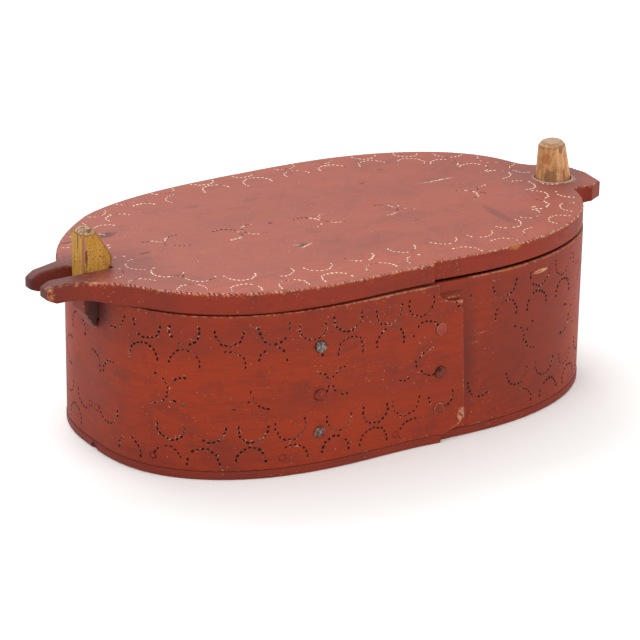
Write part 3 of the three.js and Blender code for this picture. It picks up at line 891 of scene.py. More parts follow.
endSpots = [   # shared by the lid's top and its edge: the fork darker, without the painted sheen; tab and worn corners
    # the fork darker, with none of the sheen painted into the top's red
    Patch((-186, 0, 100), (36, 40, 30), (0.130, 0.027, 0.020, 1), 0.85, blur=0.7),
    Patch((172, -5, 100), (16, 28, 20), (0.16, 0.060, 0.054, 1), 0.6, blur=0.7),
    Patch((-192.5, -5, 101), (5, 22, 12), (0.075, 0.025, 0.024, 1), 0.8, blur=0.5),
    Patch((-189.3, -22.9, 102), (2.5, 2.8, 9), (0.42, 0.15, 0.05, 1), 0.85, ragged=2.6, broken=True),
    Patch((-190.0, -20.5, 106), (2.4, 4.5, 2.6), (0.46, 0.20, 0.09, 1), 0.85, ragged=2.6, broken=True),
    Patch((63, -92.5, lidTop - 1), (5, 4, 2.4), tannedWood, 0.8, ragged=2.4),
]
lidSpots = [   # the fork and its shoulder darker, without the painted sheen; tab end darker; stains, rubs, dents and scratches
    # the fork and its shoulder darker, with none of the sheen painted into the top's red
    Patch((-190, -4, lidTop), (44, 40, 12), (0.070, 0.020, 0.016, 1), 0.85),
    Patch((-140, -12, lidTop), (32, 44, 9), (0.165, 0.045, 0.040, 1), 0.6, blur=0.9),
    Patch((148, -5, lidTop), (40, 60, 9), (0.19, 0.070, 0.060, 1), 0.6, blur=0.9),
    Patch((*(pegCentre - (0.6, 1.6)), lidTop), (13.6, 13.6, 9), lidRedWithSheen['fleck'], 0.55,
          blur=0.2, ragged=0.6),
    Patch((-39.6, -33, lidTop), (4.5, 3.4, 5), lidRedWithSheen['dark'], 0.8),
    Patch((-37, -34.5, lidTop), (7, 1.1, 5), lidRedWithSheen['fleck'], 0.8, turn=25, broken=True),
    Patch((-42, -31.5, lidTop), (4, 0.8, 5), lidRedWithSheen['fleck'], 0.8, turn=-20, broken=True),
    Patch((90, 23.4, lidTop), (15, 1.3, 5), lidRedWithSheen['fleck'], 0.75, broken=True),
    Patch((86, 24.6, lidTop), (10, 0.9, 5), lidRedWithSheen['dark'], 0.7, turn=5),
    Patch((85.5, -44, lidTop), (4.5, 22, 5), (0.09, 0.035, 0.035, 1), 0.45, turn=-5),
    Patch((-35.4, 7.3, lidTop), (2.2, 1.8, 5), lidRedWithSheen['dark'], 0.8),
    Patch((-121, -1, lidTop), (5.5, 1.4, 5), lidRedWithSheen['dark'], 0.7, turn=8),
    Patch((-125, 35.5, lidTop), (8, 4.5, 5), lidRedWithSheen['dark'], 0.7, turn=20),
    Patch((-150, 35.2, lidTop), (5, 0.9, 5), lidRedWithSheen['dark'], 0.9),
    Patch((-149, 32.2, lidTop), (5, 0.8, 5), lidRedWithSheen['fleck'], 0.6, broken=True),
    Patch((-59, 54, lidTop), (9, 4, 5), lidRedWithSheen['dull'], 0.7),
    Patch((-24, 48, lidTop), (8, 3.5, 5), lidRedWithSheen['dull'], 0.7),
    Patch((49, 41, lidTop), (3, 1.3, 5), lidRedWithSheen['dark'], 0.7),
    Patch((72, 57, lidTop), (3.5, 1.6, 5), lidRedWithSheen['dark'], 0.5),
    Patch((111, -45, lidTop), (2.2, 1.7, 5), lidRedWithSheen['fleck'], 0.8, broken=True),
]


def faceTable(piece):    # material number, middle in mm and normal of each face
    polygons = piece.data.polygons
    index, middles, normals = (np.empty(len(polygons) * n) for n in (1, 3, 3))
    polygons.foreach_get('material_index', index)
    polygons.foreach_get('center', middles)
    polygons.foreach_get('normal', normals)
    return index.astype(int), middles.reshape(-1, 3) / mm, normals.reshape(-1, 3)


def pointsIn(piece, number):    # which points belong to faces of a material
    marked = np.zeros(len(piece.data.vertices), bool)
    for polygon in piece.data.polygons:
        if polygon.material_index == number:
            marked[list(polygon.vertices)] = True
    return marked


def wearLid(lid, loops):    # writes where the paint is rubbed, chipped round a cut, or darkened by painted shade
    points = pointsOf(lid)
    x, y, height = points.T
    fromArris = edgeDistance(points[:, :2], loops) + np.maximum(lidTop - height, 0)
    punched = pointsIn(lid, lidFace['punch']) | pointsIn(lid, lidFace['centrePunch'])
    nicked = pointsIn(lid, lidFace['edge'])
    buried = smooth(fromArris, 0.9, 1.6)    # 1 at the bottom of a nick
    reach = np.where((y < 0) & (x < 10), 2.1, 1.5)
    writeMark(lid, 'wear', np.exp(-fromArris / reach) * np.where(nicked, 1 - buried, 1))
    writeMark(lid, 'halo', np.maximum(punched * 0.6, nicked * (1 - buried) * 0.95))
    # painted shade towards the lid's lower edge and in the floors of the nicks
    writeMark(lid, 'grime_and_shade', np.maximum(np.exp(lidBottom - height) * 0.6, nicked * buried * 0.25))


def splitLid(lid):    # the top gets the red with painted sheen, the edge and the underside their own finishes
    index, middles, normals = faceTable(lid)
    level = normals[:, 2]
    plain = (index == lidFace['top']) | (index == lidFace['edge'])
    index[plain] = np.where(level[plain] > 0.35, lidFace['top'], lidFace['edge'])
    rim = ovalPoint(np.linspace(0, 2 * math.pi, 180, endpoint=False), -lidShape['paintedUnder'])
    inner = insideLoops(middles[:, :2], [rim])
    index[plain & (level < -0.8) & inner] = lidFace['under']
    lid.data.polygons.foreach_set('material_index', index)


def makeLid():
    dice = random.Random(11)
    loops = lidLoops()
    above, below = (lidRounds(loops, lidShape[key]) for key in ('topRound', 'bottomRound'))
    plan, depth, faces = board(loops, lidShape['thickness'], above, below, lidShape['spacing'], 4)
    lid = addPiece('lid_board', lidPoints(plan, depth), faces)
    top = redWood('lid_red_paint_painted_sheen', lidRedWithSheen, (0.09, 1, 1), lidSpots + endSpots)
    edge = redWood('lid_edge_red_paint', rimRed, (0.09, 1, 1), endSpots)
    coat(lid, top, creamFill, bareUnder, edge, mixedFill)
    marks = Chisel('punch', lidFace['punch'])
    centreMarks = Chisel('centre_punch', lidFace['centrePunch'])
    punchLid(marks, centreMarks, loops, dice)
    marks.cut(lid)
    centreMarks.cut(lid)
    nickTool = Chisel('nick', lidFace['edge'])
    cutNicks(nickTool, dice)
    nickTool.cut(lid)
    wearLid(lid, loops)
    splitLid(lid)
    dress(lid, 'lid', 'lid')


makeLid()
print('lid made')


# Band: a strip bent once round and on over itself, cut from a flat outline and then wrapped

wrapAngles = np.linspace(stripStart, stripEnd, fineness['wrap'])
wrapFace = ovalPoint(wrapAngles, stripShift(wrapAngles) - bent['inset'])
wrapRun = runAlong(wrapFace)
bandFace = {'outer': 0, 'punch': 1, 'inner': 2}   # its materials, in order


def stripRun(angle):
    return float(np.interp(angle, wrapAngles, wrapRun))


def wrapStrip(plan, depth):
    angle = np.interp(plan[:, 0], wrapRun, wrapAngles)
    edge = ovalPoint(angle, stripShift(angle) - bent['inset'] - depth)
    return np.column_stack([edge, plan[:, 1]])


def stripLoop():    # outline of the flat strip
    def lapRun(x):
        return stripRun(frontAngle(x) + 2 * math.pi)

    low, high = bent['outerEnd'], bent['outerEnd'] - bent['lean']
    half = catchWidth / 2 + lidShape['slotGap']
    left, right = (stripRun(leftAngle(postLine + side * half) + 2 * math.pi) for side in (1, -1))
    notchBottom = bandTop - bent['notchDepth']
    corners = [(0, bandBottom)]
    corners += [(lapRun(low - back), bandBottom + up) for back, up in bent['bottomCut']]
    corners += [(lapRun(high - back), bandTop - down) for back, down in bent['topCut']]
    corners += [(right, bandTop), (right, notchBottom), (left, notchBottom), (left, bandTop)]
    corners += [(0, bandTop)]
    return looped(zip(corners, corners[1:] + corners[:1]), bent['outlineStep'])


# Rows of arcs. Each has the places that the picture shows, as lengths along the outer face from
# the right end, then first, last and number of the even ones behind, and its level, all in mm
pattern = {
    'topUp': ([443, 468, 490, 514, 538, 560, 582, 607, 629, 658, 689, 717, 740, 761],
              (786, 1262, 20), 78.2),
    'topDown': ([466, 489, 514, 537, 559, 583, 609, 632, 691, 715, 742], (774, 1250, 20), 75.3),
    'bottomUp': ([412, 437, 481, 504, 526, 548, 577, 599, 620, 642, 674, 700], (724, 1231, 22), 22.0),
    'bottomDown': ([456, 479, 499, 526, 548, 575, 599, 624, 705], (730, 1242, 22), 18.4),
    'middle': ([433, 481, 526, 570, 627, 706], (752, 1229, 11), 50.2),
    'middleGap': 2.2, 'middleWorn': 0.14,
    'clear': {'bottom': 3, 'top': 2.5, 'lap': 3.5, 'notchSide': 9, 'underNotch': 20},
}


def onBand(at, direction):
    centre, angle = bandSurface(at[0], at[1])
    normal = ovalNormal(angle)
    tangent = np.array([-normal[1], normal[0]])
    along = np.array([*(tangent * math.cos(direction)), math.sin(direction)])
    return centre, along, np.array([*normal, 0])


def punchBand(tool, dice):
    lapRun, notchRun = (float(np.interp(angle, roundAngles, roundRun))
                        for angle in (frontAngle(bent['outerEnd']), leftAngle(postLine)))
    clear = pattern['clear']

    def keep(run, height):
        inBoard = bandBottom + clear['bottom'] < height < bandTop - clear['top']
        atNotch = (abs(run % fullRun - notchRun) < clear['notchSide']
                   and height > bandTop - clear['underNotch'])
        return inBoard and abs(run - lapRun) > clear['lap'] and not atNotch

    for row, way in (('topUp', 1), ('topDown', -1), ('bottomUp', 1), ('bottomDown', -1)):
        seen, (first, last, count), level = pattern[row]
        for run in [*seen, *np.linspace(first, last, count)]:
            middle = (run + dice.uniform(-0.8, 0.8),
                      level + dice.uniform(-0.8, 0.8) + way * bandArcs['radius'])
            punchArc(tool, onBand, middle, 90 * way, dice, keep, bandArcs)
    seen, (first, last, count), level = pattern['middle']
    for run in [*seen, *np.linspace(first, last, count)]:
        for side, opening in ((-1, 180), (1, 0)):
            gap = pattern['middleGap'] * dice.uniform(0, 1)
            middle = (run + side * (bandArcs['radius'] + gap), level + dice.uniform(-1.2, 1.2))
            punchArc(tool, onBand, middle, opening, dice, keep, bandArcs, pattern['middleWorn'])


fastening = {
    'nails': [(-65, 72.8), (-65, 45), (-65, 23.2), (12, 68.5), (12, 43), (12, 21)],   # x, level
    'shank': 1.2, 'head': 3.4, 'dome': 1.3, 'clench': 2.2, 'clenchThickness': 0.8, 'clenchGap': 0.3,
    'basePegs': 12, 'basePegX': -86, 'basePegRadius': 2, 'basePegLength': 15, 'basePegLevel': 11.15,
    'catchPegRadius': 1.6, 'catchPegSpacing': 6.8, 'catchPegLevel': 26,
    'postPegRadius': 2, 'postPegLevels': (28, 64), 'pegGap': 0.12, 'catchPegGap': 0.5,
}


def basePegPlaces():
    run = runAlong(ovalPoint(roundAngles))
    first = float(np.interp(frontAngle(fastening['basePegX']), roundAngles, run))
    where = first + np.arange(fastening['basePegs']) * run[-1] / fastening['basePegs']
    return np.interp(np.mod(where, run[-1]), run, roundAngles)


def pegSeats():    # name, point on the band's face, way out, radius, length
    seats = []
    for i, angle in enumerate(basePegPlaces(), 1):
        grow = outerShift(angle, bent['outerEnd']) - bent['inset']
        centre = np.append(ovalPoint(angle, grow), fastening['basePegLevel'])
        seats.append((f'base_peg_{i}', centre, np.append(ovalNormal(angle), 0),
                      fastening['basePegRadius'], fastening['basePegLength']))
    ends = []
    for i, side in enumerate((-1, 1), 1):
        y = postLine + side * fastening['catchPegSpacing'] / 2
        centre = np.array([bent['inset'] - leftEnd, y, fastening['catchPegLevel']])
        ends.append((f'catch_peg_{i}', centre, np.array([-1.0, 0, 0]), fastening['catchPegRadius']))
    for i, level in enumerate(fastening['postPegLevels'], 1):
        centre = np.array([pegCentre[0], postLine, level])
        ends.append((f'post_peg_{i}', centre, np.array([1.0, 0, 0]), fastening['postPegRadius']))
    for name, centre, out, radius in ends:
        low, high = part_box(name)
        seats.append((name, centre, out, radius, (high[0] - low[0]) / mm))
    return seats


def sideAndUp(out):    # level and upright, at right angles to a way out
    side = np.cross(out, (0, 0, 1.0))
    side /= np.linalg.norm(side)
    return side, np.cross(side, out)


def ringAround(centre, out, radius, count, lift):
    side, up = sideAndUp(out)
    turns = np.linspace(0, 2 * math.pi, count, endpoint=False)
    return [centre + out * lift + side * radius * math.cos(turn) + up * radius * math.sin(turn)
            for turn in turns]


bandSpots = [   # chips and bare wood at the top edge, scratches, stains, painted shade and broad changes of tone
    Patch((84, -89.8, 87.0), (6.8, 5, 1.2), rawWood, blur=0.3),
    Patch((82, -89.8, 86.9), (4, 5, 0.45), bandRed['base'], 0.8, blur=0.4),
    Patch((60, -93.5, 93.9), (13, 5, 0.9), tannedWood, 0.5),
    Patch((26.8, -97.5, 13.5), (3.2, 4, 6.5), bandRed['fleck'], 0.7, blur=0.5, broken=True),
    Patch((35, -94.3, 55), (6, 5, 0.8), bandRed['worn'], 0.6, broken=True),
    Patch((40, -94.0, 60), (7, 5, 0.7), bandRed['worn'], 0.5, broken=True),
    Patch((19, -97, 84.8), (9, 5, 1.0), bandRed['fleck'], 0.7, broken=True),
    # painted shade under the lap's top corner
    Patch((19, -94, 87.6), (10, 5, 1.6), bandRed['dark'], 0.5, blur=0.7),
    # painted shadow on the band under the catch's prong
    Patch((-155, -15, 84), (9, 12, 15), (0.05, 0.020, 0.020, 1), 0.75, blur=0.8),
    Patch((-156, 10, 78.5), (5, 8, 1.0), bandRed['fleck'], 0.6, blur=0.5, broken=True),
    Patch((-40, -95, 24), (75, 30, 22), bandRed['bright'], 0.45, blur=0.9),
    Patch((78, -90, 45), (50, 40, 60), bandRed['dull'], 0.45, blur=0.4),
    # painted shade beside the lap's end, where the band steps in
    Patch((31, -94, 48), (11, 4, 60), bandRed['dull'], 0.85, blur=1.0),
    Patch((-158, -10, 50), (16, 50, 60), bandRed['dull'], 0.35, blur=0.9),
]
for x, level in fastening['nails']:    # darker round the nail heads
    head = (*ovalPoint(frontAngle(x), lapStep - bent['inset']), level)
    bandSpots.append(Patch(head, (4.5, 5, 4.5), bandRed['dark'], 0.75))


def cutPegHoles(band):
    holes = Chisel('hole', bandFace['outer'])
    for name, centre, out, radius, _ in pegSeats():
        gap = fastening['catchPegGap' if name.startswith('catch') else 'pegGap']
        holes.loft([ringAround(centre, out, radius + gap, 28, lift)
                    for lift in (6, -bent['thickness'] - 2)])
    holes.cut(band)


def wearBand(band, loop):    # writes where the paint is rubbed, chipped round a mark, or darkened by dirt and painted shade
    points = pointsOf(band)
    height = points[:, 2]
    angle = np.mod(np.arctan2(points[:, 1], points[:, 0]), 2 * math.pi)
    fromEdge = np.minimum(bandTop - height, height - bandBottom)
    face = ovalPoint(angle, outerShift(angle, bent['outerEnd']) - bent['inset'])
    deep = np.maximum(np.linalg.norm(face, axis=1) - np.linalg.norm(points[:, :2], axis=1), 0)
    overlap = (angle > math.pi) & (angle < stripEnd - 2 * math.pi + 0.02)
    lapped = overlap & (deep < bent['thickness'] + 0.2)
    strip = np.column_stack([np.interp(angle + 2 * math.pi, wrapAngles, wrapRun), height])
    apart = np.where(lapped, edgeDistance(strip, [loop]), np.maximum(fromEdge, 0))
    atEnd = lapped & (strip[:, 0] > stripRun(stripEnd) - 9)
    punched = pointsIn(band, bandFace['punch'])
    kept = 1 - 0.3 * smooth(-points[:, 0], 20, 70)    # less wear at the left
    writeMark(band, 'wear', kept * np.exp(-apart / np.where(atEnd, 1.9, 1.0)) * np.exp(-deep / 4))
    writeMark(band, 'halo', punched * (0.6 + 0.5 * softNoise(points, 14, 5.5)))
    # painted shade along the bottom, by the base, and round the punched marks
    writeMark(band, 'grime_and_shade', np.maximum(np.exp((bandBottom - height) / 0.8) * 0.8, punched * 0.3))


def splitBand(band):    # the inside is bare
    index, middles, normals = faceTable(band)
    turn = np.arctan2(middles[:, 1], middles[:, 0])
    inwards = (normals[:, :2] * ovalNormal(turn)).sum(1) < -0.5
    innerFace = np.linalg.norm(ovalPoint(turn, -bent['inset'] - 2.2), axis=1)
    behind = np.linalg.norm(middles[:, :2], axis=1) < innerFace
    index[inwards & (index == bandFace['outer']) & behind] = bandFace['inner']
    band.data.polygons.foreach_set('material_index', index)


def makeBand():
    dice = random.Random(23)
    loop = stripLoop()
    rounds = [bent['rounding']]
    plan, depth, faces = board([loop], bent['thickness'], rounds, rounds, bent['spacing'], 1)
    points = wrapStrip(plan, depth)
    sag = softNoise(points, 60, 8.1) * 0.15
    outwards = ovalNormal(np.arctan2(points[:, 1], points[:, 0]))
    points[:, :2] -= outwards * (0.15 + sag)[:, None]
    band = addPiece('bent_band', points, faces)
    coat(band, redWood('band_red_paint', bandRed, (0.1, 0.1, 1), bandSpots), darkFill, bareInside)
    marks = Chisel('punch', bandFace['punch'])
    punchBand(marks, dice)
    marks.cut(band)
    cutPegHoles(band)
    wearBand(band, loop)
    splitBand(band)
    dress(band, 'box', 'band')


makeBand()
print('band made')


# Base board: a proud rim under the band and a thinner part let up into it

baseShape = {
    'rim': bandBottom, 'stepX': 13.5, 'in': 0.45, 'topRound': 0.4, 'bottomRound': 1.3, 'stepRound': 0.8,
    'top': 16, 'gap': 0.3, 'raisedRound': 0.8, 'overlap': 2,
    'chip': {'angle': 182, 'width': 8, 'depth': 2.2, 'height': 5},
}
baseFace = {'rim': 0, 'inside': 1, 'chip': 2}   # its materials, in order


def baseRim():    # outline of the rim, and how round its lower edge is at each point
    step = frontAngle(baseShape['stepX'])
    before, after = np.linspace(0, step, 900), np.linspace(step, 2 * math.pi, 400)
    left = ovalPoint(before, outerShift(before, baseShape['stepX']) - baseShape['in'])
    right = ovalPoint(after, -baseShape['in'])
    rim = looped([left, [left[-1], right[0]], right], 2.0)
    away = smooth(np.linalg.norm(rim - left[-1], axis=1), 5, 12)
    return rim, baseShape['stepRound'] + (baseShape['bottomRound'] - baseShape['stepRound']) * away


def makeBase():
    rim, below = baseRim()
    plan, depth, faces = board([rim], baseShape['rim'], [baseShape['topRound']], [below], 5, 2)
    base = addPiece('oval_base', np.column_stack([plan, baseShape['rim'] - depth]), faces)
    within = bent['inset'] + bent['thickness'] + baseShape['gap']
    inner = looped([ovalPoint(np.linspace(0, 2 * math.pi, 900), -within)], 2.5)
    rise = baseShape['top'] - baseShape['rim'] + baseShape['overlap']
    rounds = [baseShape['raisedRound']]
    plan, depth, faces = board([inner], rise, rounds, rounds, 3, 2)
    raised = addPiece('raised', np.column_stack([plan, baseShape['top'] - depth]), faces)
    wood = redWood('base_red_paint', footRed, (0.1, 0.1, 1))
    coat(base, wood, bareUnder, wood)
    coat(raised, wood, bareUnder, wood)
    joined(base, raised, 'UNION')
    chip = baseShape['chip']
    knife = Chisel('chip', baseFace['chip'])
    turn = math.radians(chip['angle'])
    out = np.append(ovalNormal(turn), 0)
    knife.dent(np.append(ovalPoint(turn, 0.3), 0), np.cross(out, (0, 0, 1.0)), out, chip['width'],
               2 * chip['height'], chip['depth'], 0.4, 9, 3)
    knife.cut(base)
    points = pointsOf(base)
    height = points[:, 2]
    rubbed = np.exp(-edgeDistance(points[:, :2], [rim]) / 0.8) * np.exp(-height / 1.2)
    writeMark(base, 'wear', rubbed * 0.7)
    # painted shade along the seam under the band and in the chip
    seam = np.exp(-np.abs(height - baseShape['rim']) / 0.8)
    writeMark(base, 'grime_and_shade', np.maximum(seam * 0.5, pointsIn(base, baseFace['chip']) * 0.6))
    index, middles, _ = faceTable(base)
    index[middles[:, 2] > baseShape['rim'] + 1] = baseFace['inside']
    base.data.polygons.foreach_set('material_index', index)
    dress(base, 'box', 'base_board')


makeBase()
print('base made')


# Posts: the carved catch and the turned-down peg, both whittled from their own solids

def whittled(node, name, grain, ripple):
    piece = bpy.data.objects.new(name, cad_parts[node].data.copy())
    piece.data.materials.clear()
    bpy.context.collection.objects.link(piece)
    remesh = piece.modifiers.new('grain', 'REMESH')
    remesh.mode = 'VOXEL'
    remesh.voxel_size = grain * mm
    ease = piece.modifiers.new('ease', 'SMOOTH')
    ease.factor = 0.5
    ease.iterations = 6
    settle(piece)
    points = pointsOf(piece)
    shrink = 0.06    # keeps the ripples inside the solid
    lift = ripple * softNoise(points * (1, 1, 0.35), 5, 3.3) - shrink
    movePoints(piece, points + pointValues(piece, 'normal') * lift[:, None])
    return piece


def sharpness(piece, reach):    # near 1 on outer edges, 0 on flats
    mesh = piece.data
    points = pointsOf(piece)
    normals = pointValues(piece, 'normal')
    ends = np.empty(len(mesh.edges) * 2, int)
    mesh.edges.foreach_get('vertices', ends)
    one, two = ends.reshape(-1, 2).T
    swell, shares = np.zeros((2, len(points)))
    for here, there in ((one, two), (two, one)):
        way = points[there] - points[here]
        way /= np.maximum(np.linalg.norm(way, axis=1, keepdims=True), 1e-6)
        np.add.at(swell, here, -(way * normals[here]).sum(1))
        np.add.at(shares, here, 1)
    swell /= np.maximum(shares, 1)
    for _ in range(round(reach / 0.5)):
        spread = np.zeros(len(points))
        np.add.at(spread, one, swell[two])
        np.add.at(spread, two, swell[one])
        swell = 0.5 * swell + 0.5 * spread / np.maximum(shares, 1)
    return np.clip(swell * 9, 0, 1)


ochrePaint = {
    'base': (0.40, 0.195, 0.026, 1), 'light': (0.51, 0.265, 0.050, 1), 'brown': (0.10, 0.038, 0.014, 1),
    'pink': (0.42, 0.16, 0.08, 1), 'bare': (0.46, 0.31, 0.20, 1), 'foot': (0.185, 0.027, 0.015, 1),
    'shade_under_prong': (0.050, 0.022, 0.022, 1),
}
catchSpots = [Patch(at, size, ochrePaint[colour], strength, blur=0.45, ragged=1.6)
              for at, size, colour, strength in (
                  ((-163.6, -12, lidTop + 12), (1.9, 1.8, 10), 'pink', 0.9),
                  ((-162.4, -12, lidTop + 8), (1.0, 1.8, 6), 'brown', 0.9),
                  ((-165, -6.5, lidTop + 16), (2, 0.7, 8), 'brown', 0.95),
                  ((-165, -2.5, lidTop + 4), (2, 1.1, 6), 'brown', 0.35),
                  ((-158, -12, lidTop + 22.5), (8, 2.5, 1.8), 'brown', 0.6),
                  ((-147.5, -12, lidTop + 8), (1.4, 2.5, 10), 'brown', 0.4),
                  # painted shade on the catch's front face under the prong
                  ((-158.5, -13, 80), (6.5, 5, 22), 'shade_under_prong', 0.85),
              )]


def ochreWood():
    paint = Paint('ochre_paint')
    look = ochrePaint
    height = paint.height()
    wander = paint.cloud(1.6, (1, 1, 0.6), 4, 0.7, 4)
    speck = paint.cloud(0.9, (1, 1, 1), 2, 0.6, 13)
    streak = paint.cloud(1.6, (1, 1, 0.15), 4, 0.6, 8)
    colour = paint.mix(streak.between(0.35, 0.65), look['base'], look['light'])
    colour = paint.mix(speck.between(0.58, 0.66) * 0.8, colour, look['brown'])
    crown = (height + wander * 2).between(lidTop + 21.4, lidTop + 22.6)
    colour = paint.mix(crown * 0.85, colour, look['bare'])
    mottle = paint.cloud(2.2, (1, 1, 1), 4, 0.65, 17).between(0.46, 0.58)
    colour = paint.mix(crown * mottle * 0.85, colour, look['brown'])
    low = 1 - (height + wander * 3).between(lidBottom + 1, lidBottom + 3)
    colour = paint.mix(low, colour, look['foot'])
    colour = paint.patched(colour, catchSpots, wander)
    ridge = paint.mark('wear') + (wander - 0.5) * 0.9 - low * speck.between(0.42, 0.55) * 0.6
    colour = paint.mix(ridge.between(0.25, 0.55) * 0.65, colour, look['brown'])
    bare = paint.mix(low, look['pink'], bandRed['worn'])
    colour = paint.mix(ridge.between(0.65, 0.9) * 0.75, colour, bare)
    crack = streak.between(0.60, 0.66) * (height + wander * 4).between(lidTop + 17, lidTop + 22)
    colour = paint.mix(crack * 0.8, colour, look['brown'])
    normal = paint.bump(streak, 0.1, 0.4)
    normal = paint.bump(speck, 0.15, 0.35, normal)
    return paint.finish(colour, 0.62 + wander * 0.12, normal, Specular_IOR_Level=0.25)


def makeCatch():
    catch = whittled('catch_post', 'carved_catch', 0.5, 0.12)
    coat(catch, ochreWood())
    writeMark(catch, 'wear', sharpness(catch, 1.4))
    dress(catch, 'catch', 'catch_post', 60)


pegTints = {
    'light': (0.61, 0.325, 0.135, 1), 'deep': (0.45, 0.20, 0.064, 1), 'tan': (0.35, 0.135, 0.040, 1),
    'stain': (0.22, 0.085, 0.035, 1), 'foot': (0.26, 0.11, 0.045, 1), 'edge': (0.20, 0.12, 0.070, 1),
    'rubbed': (0.50, 0.38, 0.28, 1), 'crown': (0.33, 0.235, 0.165, 1),
}
pegSpots = [Patch(at, size, colour, 0.85, blur=0.35, ragged=1.6)    # on the side that faces the picture
            for at, size, colour in (
                ((147.3, -12.3, lidTop + 2.5), (4.6, 4.2, 6.0), (0.23, 0.095, 0.035, 1)),
                ((155.8, -15.2, lidTop + 3), (1.5, 3, 5.5), (0.26, 0.085, 0.025, 1)),
                ((153.8, -13.5, lidTop + 19), (1.5, 4, 2.6), (0.20, 0.07, 0.03, 1)),
                ((146.5, -9.5, lidTop + 13), (3, 4, 4), (0.42, 0.16, 0.045, 1)),
            )]


def pegWood():
    paint = Paint('peg_wood')
    rings = paint.cloud(2.2, (1, 1, 0.12), 4, 0.6)
    pores = paint.cloud(0.5, (1, 1, 0.1), 3, 0.6, 5)
    wander = paint.cloud(3, (1, 1, 0.6), 4, 0.65, 9)
    mottle = paint.cloud(3.2, (1, 1, 0.6), 4, 0.65, 21)
    height = paint.height()
    colour = paint.mix(rings.between(0.35, 0.7), pegTints['light'], pegTints['deep'])
    colour = paint.mix(pores.between(0.6, 0.8) * 0.4, colour, timber['pore'])
    colour = paint.mix(mottle.between(0.46, 0.62) * 0.75, colour, pegTints['tan'])
    colour = paint.mix(mottle.between(0.62, 0.70) * 0.5, colour, pegTints['stain'])
    foot = 1 - (height + wander * 3).between(lidTop + 1, lidTop + 4.5)
    colour = paint.mix(foot * 0.6, colour, pegTints['foot'])
    colour = paint.patched(colour, pegSpots, wander)
    rim = paint.mark('wear') + (wander - 0.5) * 0.8
    colour = paint.mix(rim.between(0.2, 0.45) * 0.8, colour, pegTints['edge'])
    colour = paint.mix(rim.between(0.7, 0.95) * 0.6, colour, pegTints['rubbed'])
    crown = (height + wander * 1.5).between(lidTop + 22.4, lidTop + 23.6)
    colour = paint.mix(crown * 0.75, colour, pegTints['crown'])
    normal = paint.bump(rings, 0.12, 0.5)
    normal = paint.bump(mottle, 0.2, 0.4, normal)
    return paint.finish(colour, 0.55 + pores * 0.2, normal)


def makePeg():
    peg = whittled('peg_post', 'whittled_peg', 0.55, 0.16)
    coat(peg, pegWood())
    writeMark(peg, 'wear', sharpness(peg, 1.2))
    dress(peg, 'box', 'peg_post', 60)


makeCatch()
makePeg()
print('posts made')


# Fastenings

iron = {'bright': (0.30, 0.285, 0.27, 1), 'rusty': (0.12, 0.075, 0.055, 1), 'shine': 0.12}
nailLooks = [   # share of paint, its colour, the rim's colour and strength, strength of the shade
    (0.0, bandRed['base'], bandRed['dark'], 0.85, 0.3),
    (1.0, bandRed['base'], bandRed['dark'], 0.5, 0.25),
    (0.50, bandRed['dull'], bandRed['dull'], 0.6, 0.0),
    (1.0, (0.29, 0.052, 0.036, 1), bandRed['worn'], 0.6, 0.0),
    (1.0, (0.15, 0.030, 0.018, 1), bandRed['dark'], 0.9, 0.85),
    (1.0, bandRed['base'], bandRed['fleck'], 0.4, 0.2),
]


def ironHead(number, centre, out):
    painted, tint, ring, rimmed, shaded = nailLooks[number - 1]
    shift = number * 3.7
    paint = Paint(f'iron_{number}')
    rust = paint.cloud(1.4, (1, 1, 1), 4, 0.65, shift)
    flake = paint.cloud(0.9, (1, 1, 1), 3, 0.6, shift + 9)
    cover = (paint.cloud(2.2, (1, 1, 1), 3, 0.6, shift + 3) + painted - 0.5).between(0.45, 0.6)
    metal = paint.mix(rust.between(0.38, 0.60), iron['bright'], iron['rusty'])
    skin = paint.mix(rust.between(0.45, 0.7) * 0.7, tint, bandRed['dull'])
    skin = paint.mix(flake.between(0.62, 0.70) * 0.6, skin, bandRed['worn'])
    colour = paint.mix(cover, metal, skin)
    edge = (paint.mark('wear') + (rust - 0.5) * 2.6).between(0.5, 0.8)
    colour = paint.mix(edge * rimmed, colour, ring)
    shade = Patch(tuple(centre + out + (-1.7, 0, 2.0)), (2.4, 3, 1.8), bandRed['dark'], shaded, blur=0.5)
    colour = paint.patched(colour, [shade], rust)
    normal = paint.bump(rust, 0.25, 0.6)
    return paint.finish(colour, 0.6 + rust * 0.3, normal, (1 - cover) * 0.7,
                        Specular_IOR_Level=iron['shine'])


def lathe(name, centre, out, profile, sides):
    side, up = sideAndUp(out)
    points, faces = [], []
    for radius, rise in profile:
        for turn in np.linspace(0, 2 * math.pi, sides, endpoint=False):
            points.append(centre + out * rise + (side * math.cos(turn) + up * math.sin(turn)) * radius)
    for level in range(len(profile) - 1):
        for i in range(sides):
            j = (i + 1) % sides
            a, b = level * sides, (level + 1) * sides
            faces.append((a + i, a + j, b + j, b + i))
    faces.append(tuple(reversed(range(sides))))
    faces.append(tuple((len(profile) - 1) * sides + i for i in range(sides)))
    return addPiece(name, points, faces)


def nailProfile():    # from the clinched end inside to the top of the head
    head, shank, clench = (fastening[key] for key in ('head', 'shank', 'clench'))
    inside = -(2 * bent['thickness'] + bent['layerGap']) - fastening['clenchGap']
    profile = [(clench - 0.3, inside - fastening['clenchThickness']), (clench, inside - 0.3),
               (clench, inside), (shank, inside), (shank, 0.0), (head * 0.9, 0.0), (head, 0.15)]
    for share in np.linspace(0.97, 0.1, 9):
        profile.append((head * share, 0.25 + fastening['dome'] * (1 - share ** 2) ** 0.75))
    return profile


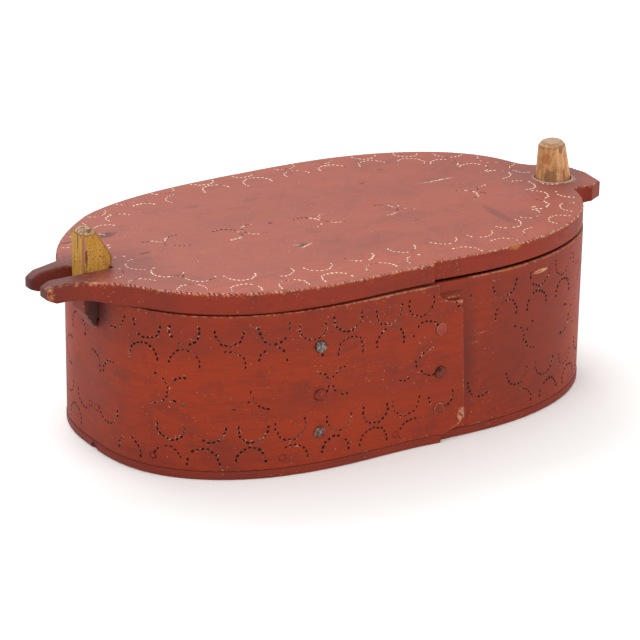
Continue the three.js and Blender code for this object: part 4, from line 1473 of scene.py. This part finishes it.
def hammer(nail, centre, out, dice):    # blows flatten the head, which ends a little out of round
    head, dome = fastening['head'], fastening['dome']
    points = pointsOf(nail)
    rise = (points - centre) @ out
    across = points - centre - rise[:, None] * out
    reach = np.linalg.norm(across, axis=1)
    turn = np.arctan2(across[:, 2], across @ np.cross(out, (0, 0, 1.0)))
    onHead = rise > 0.05
    blows = [(dice.uniform(0, 2 * math.pi), dice.uniform(0.25, 0.5)) for _ in range(6)]
    for aim, slope in blows:
        limit = dome * 0.95 + 0.25 - slope * np.maximum(reach * np.cos(turn - aim) - head * 0.25, 0)
        rise = np.where(onHead, np.minimum(rise, np.maximum(limit, 0.1)), rise)
    last = blows[-1][0]
    spread = 1 + 0.05 * np.cos(2 * turn + last) + 0.035 * np.cos(3 * turn + 2 * last)
    across *= np.where(onHead, spread, 1)[:, None]
    movePoints(nail, centre + across + rise[:, None] * out)
    writeMark(nail, 'wear', np.where(onHead, smooth(reach, head * 0.75, head), 0))


def makeNails():
    dice = random.Random(41)
    for number, (x, level) in enumerate(fastening['nails'], 1):
        angle = frontAngle(x)
        centre, _ = bandSurface(float(np.interp(angle, roundAngles, roundRun)), level)
        out = np.append(ovalNormal(angle), 0)
        nail = lathe(f'forged_nail_{number}', centre, out, nailProfile(), 30)
        hammer(nail, centre, out, dice)
        coat(nail, ironHead(number, centre, out))
        dress(nail, 'box', f'lap_nail_{number}', 50)


def makePegs():
    wood = redWood('peg_red_paint', bandRed, (1, 1, 1))
    for name, centre, out, radius, length in pegSeats():
        profile = [(radius - 0.3, -length + 0.1), (radius, -length + 0.4), (radius, -0.45),
                   (radius - 0.1, -0.25), (radius - 0.35, -0.12), (radius * 0.5, -0.06),
                   (radius * 0.1, -0.05)]
        peg = lathe('wooden_' + name, centre, out, profile, 24)
        for mark in ('wear', 'halo', 'grime_and_shade'):
            writeMark(peg, mark, np.zeros(len(peg.data.vertices)))
        coat(peg, wood)
        dress(peg, 'box', name, 50)


makeNails()
makePegs()
print('fastenings made')


# Floor

floorLook = {'first': (0.955, 0.96, 0.955, 1), 'second': (0.97, 0.975, 0.965, 1), 'rough': 0.85,
             'half': 3000}   # half its side, mm


def makeFloor():
    paint = Paint('pale_floor')
    tone = paint.cloud(300, (1, 1, 1), 2)
    colour = paint.mix(tone.between(0.3, 0.7), floorLook['first'], floorLook['second'])
    half = floorLook['half']
    corners = [(-half, -half, 0), (half, -half, 0), (half, half, 0), (-half, half, 0)]
    floor = addPiece('floor', corners, [(0, 1, 2, 3)])
    coat(floor, paint.finish(colour, floorLook['rough']))


makeFloor()
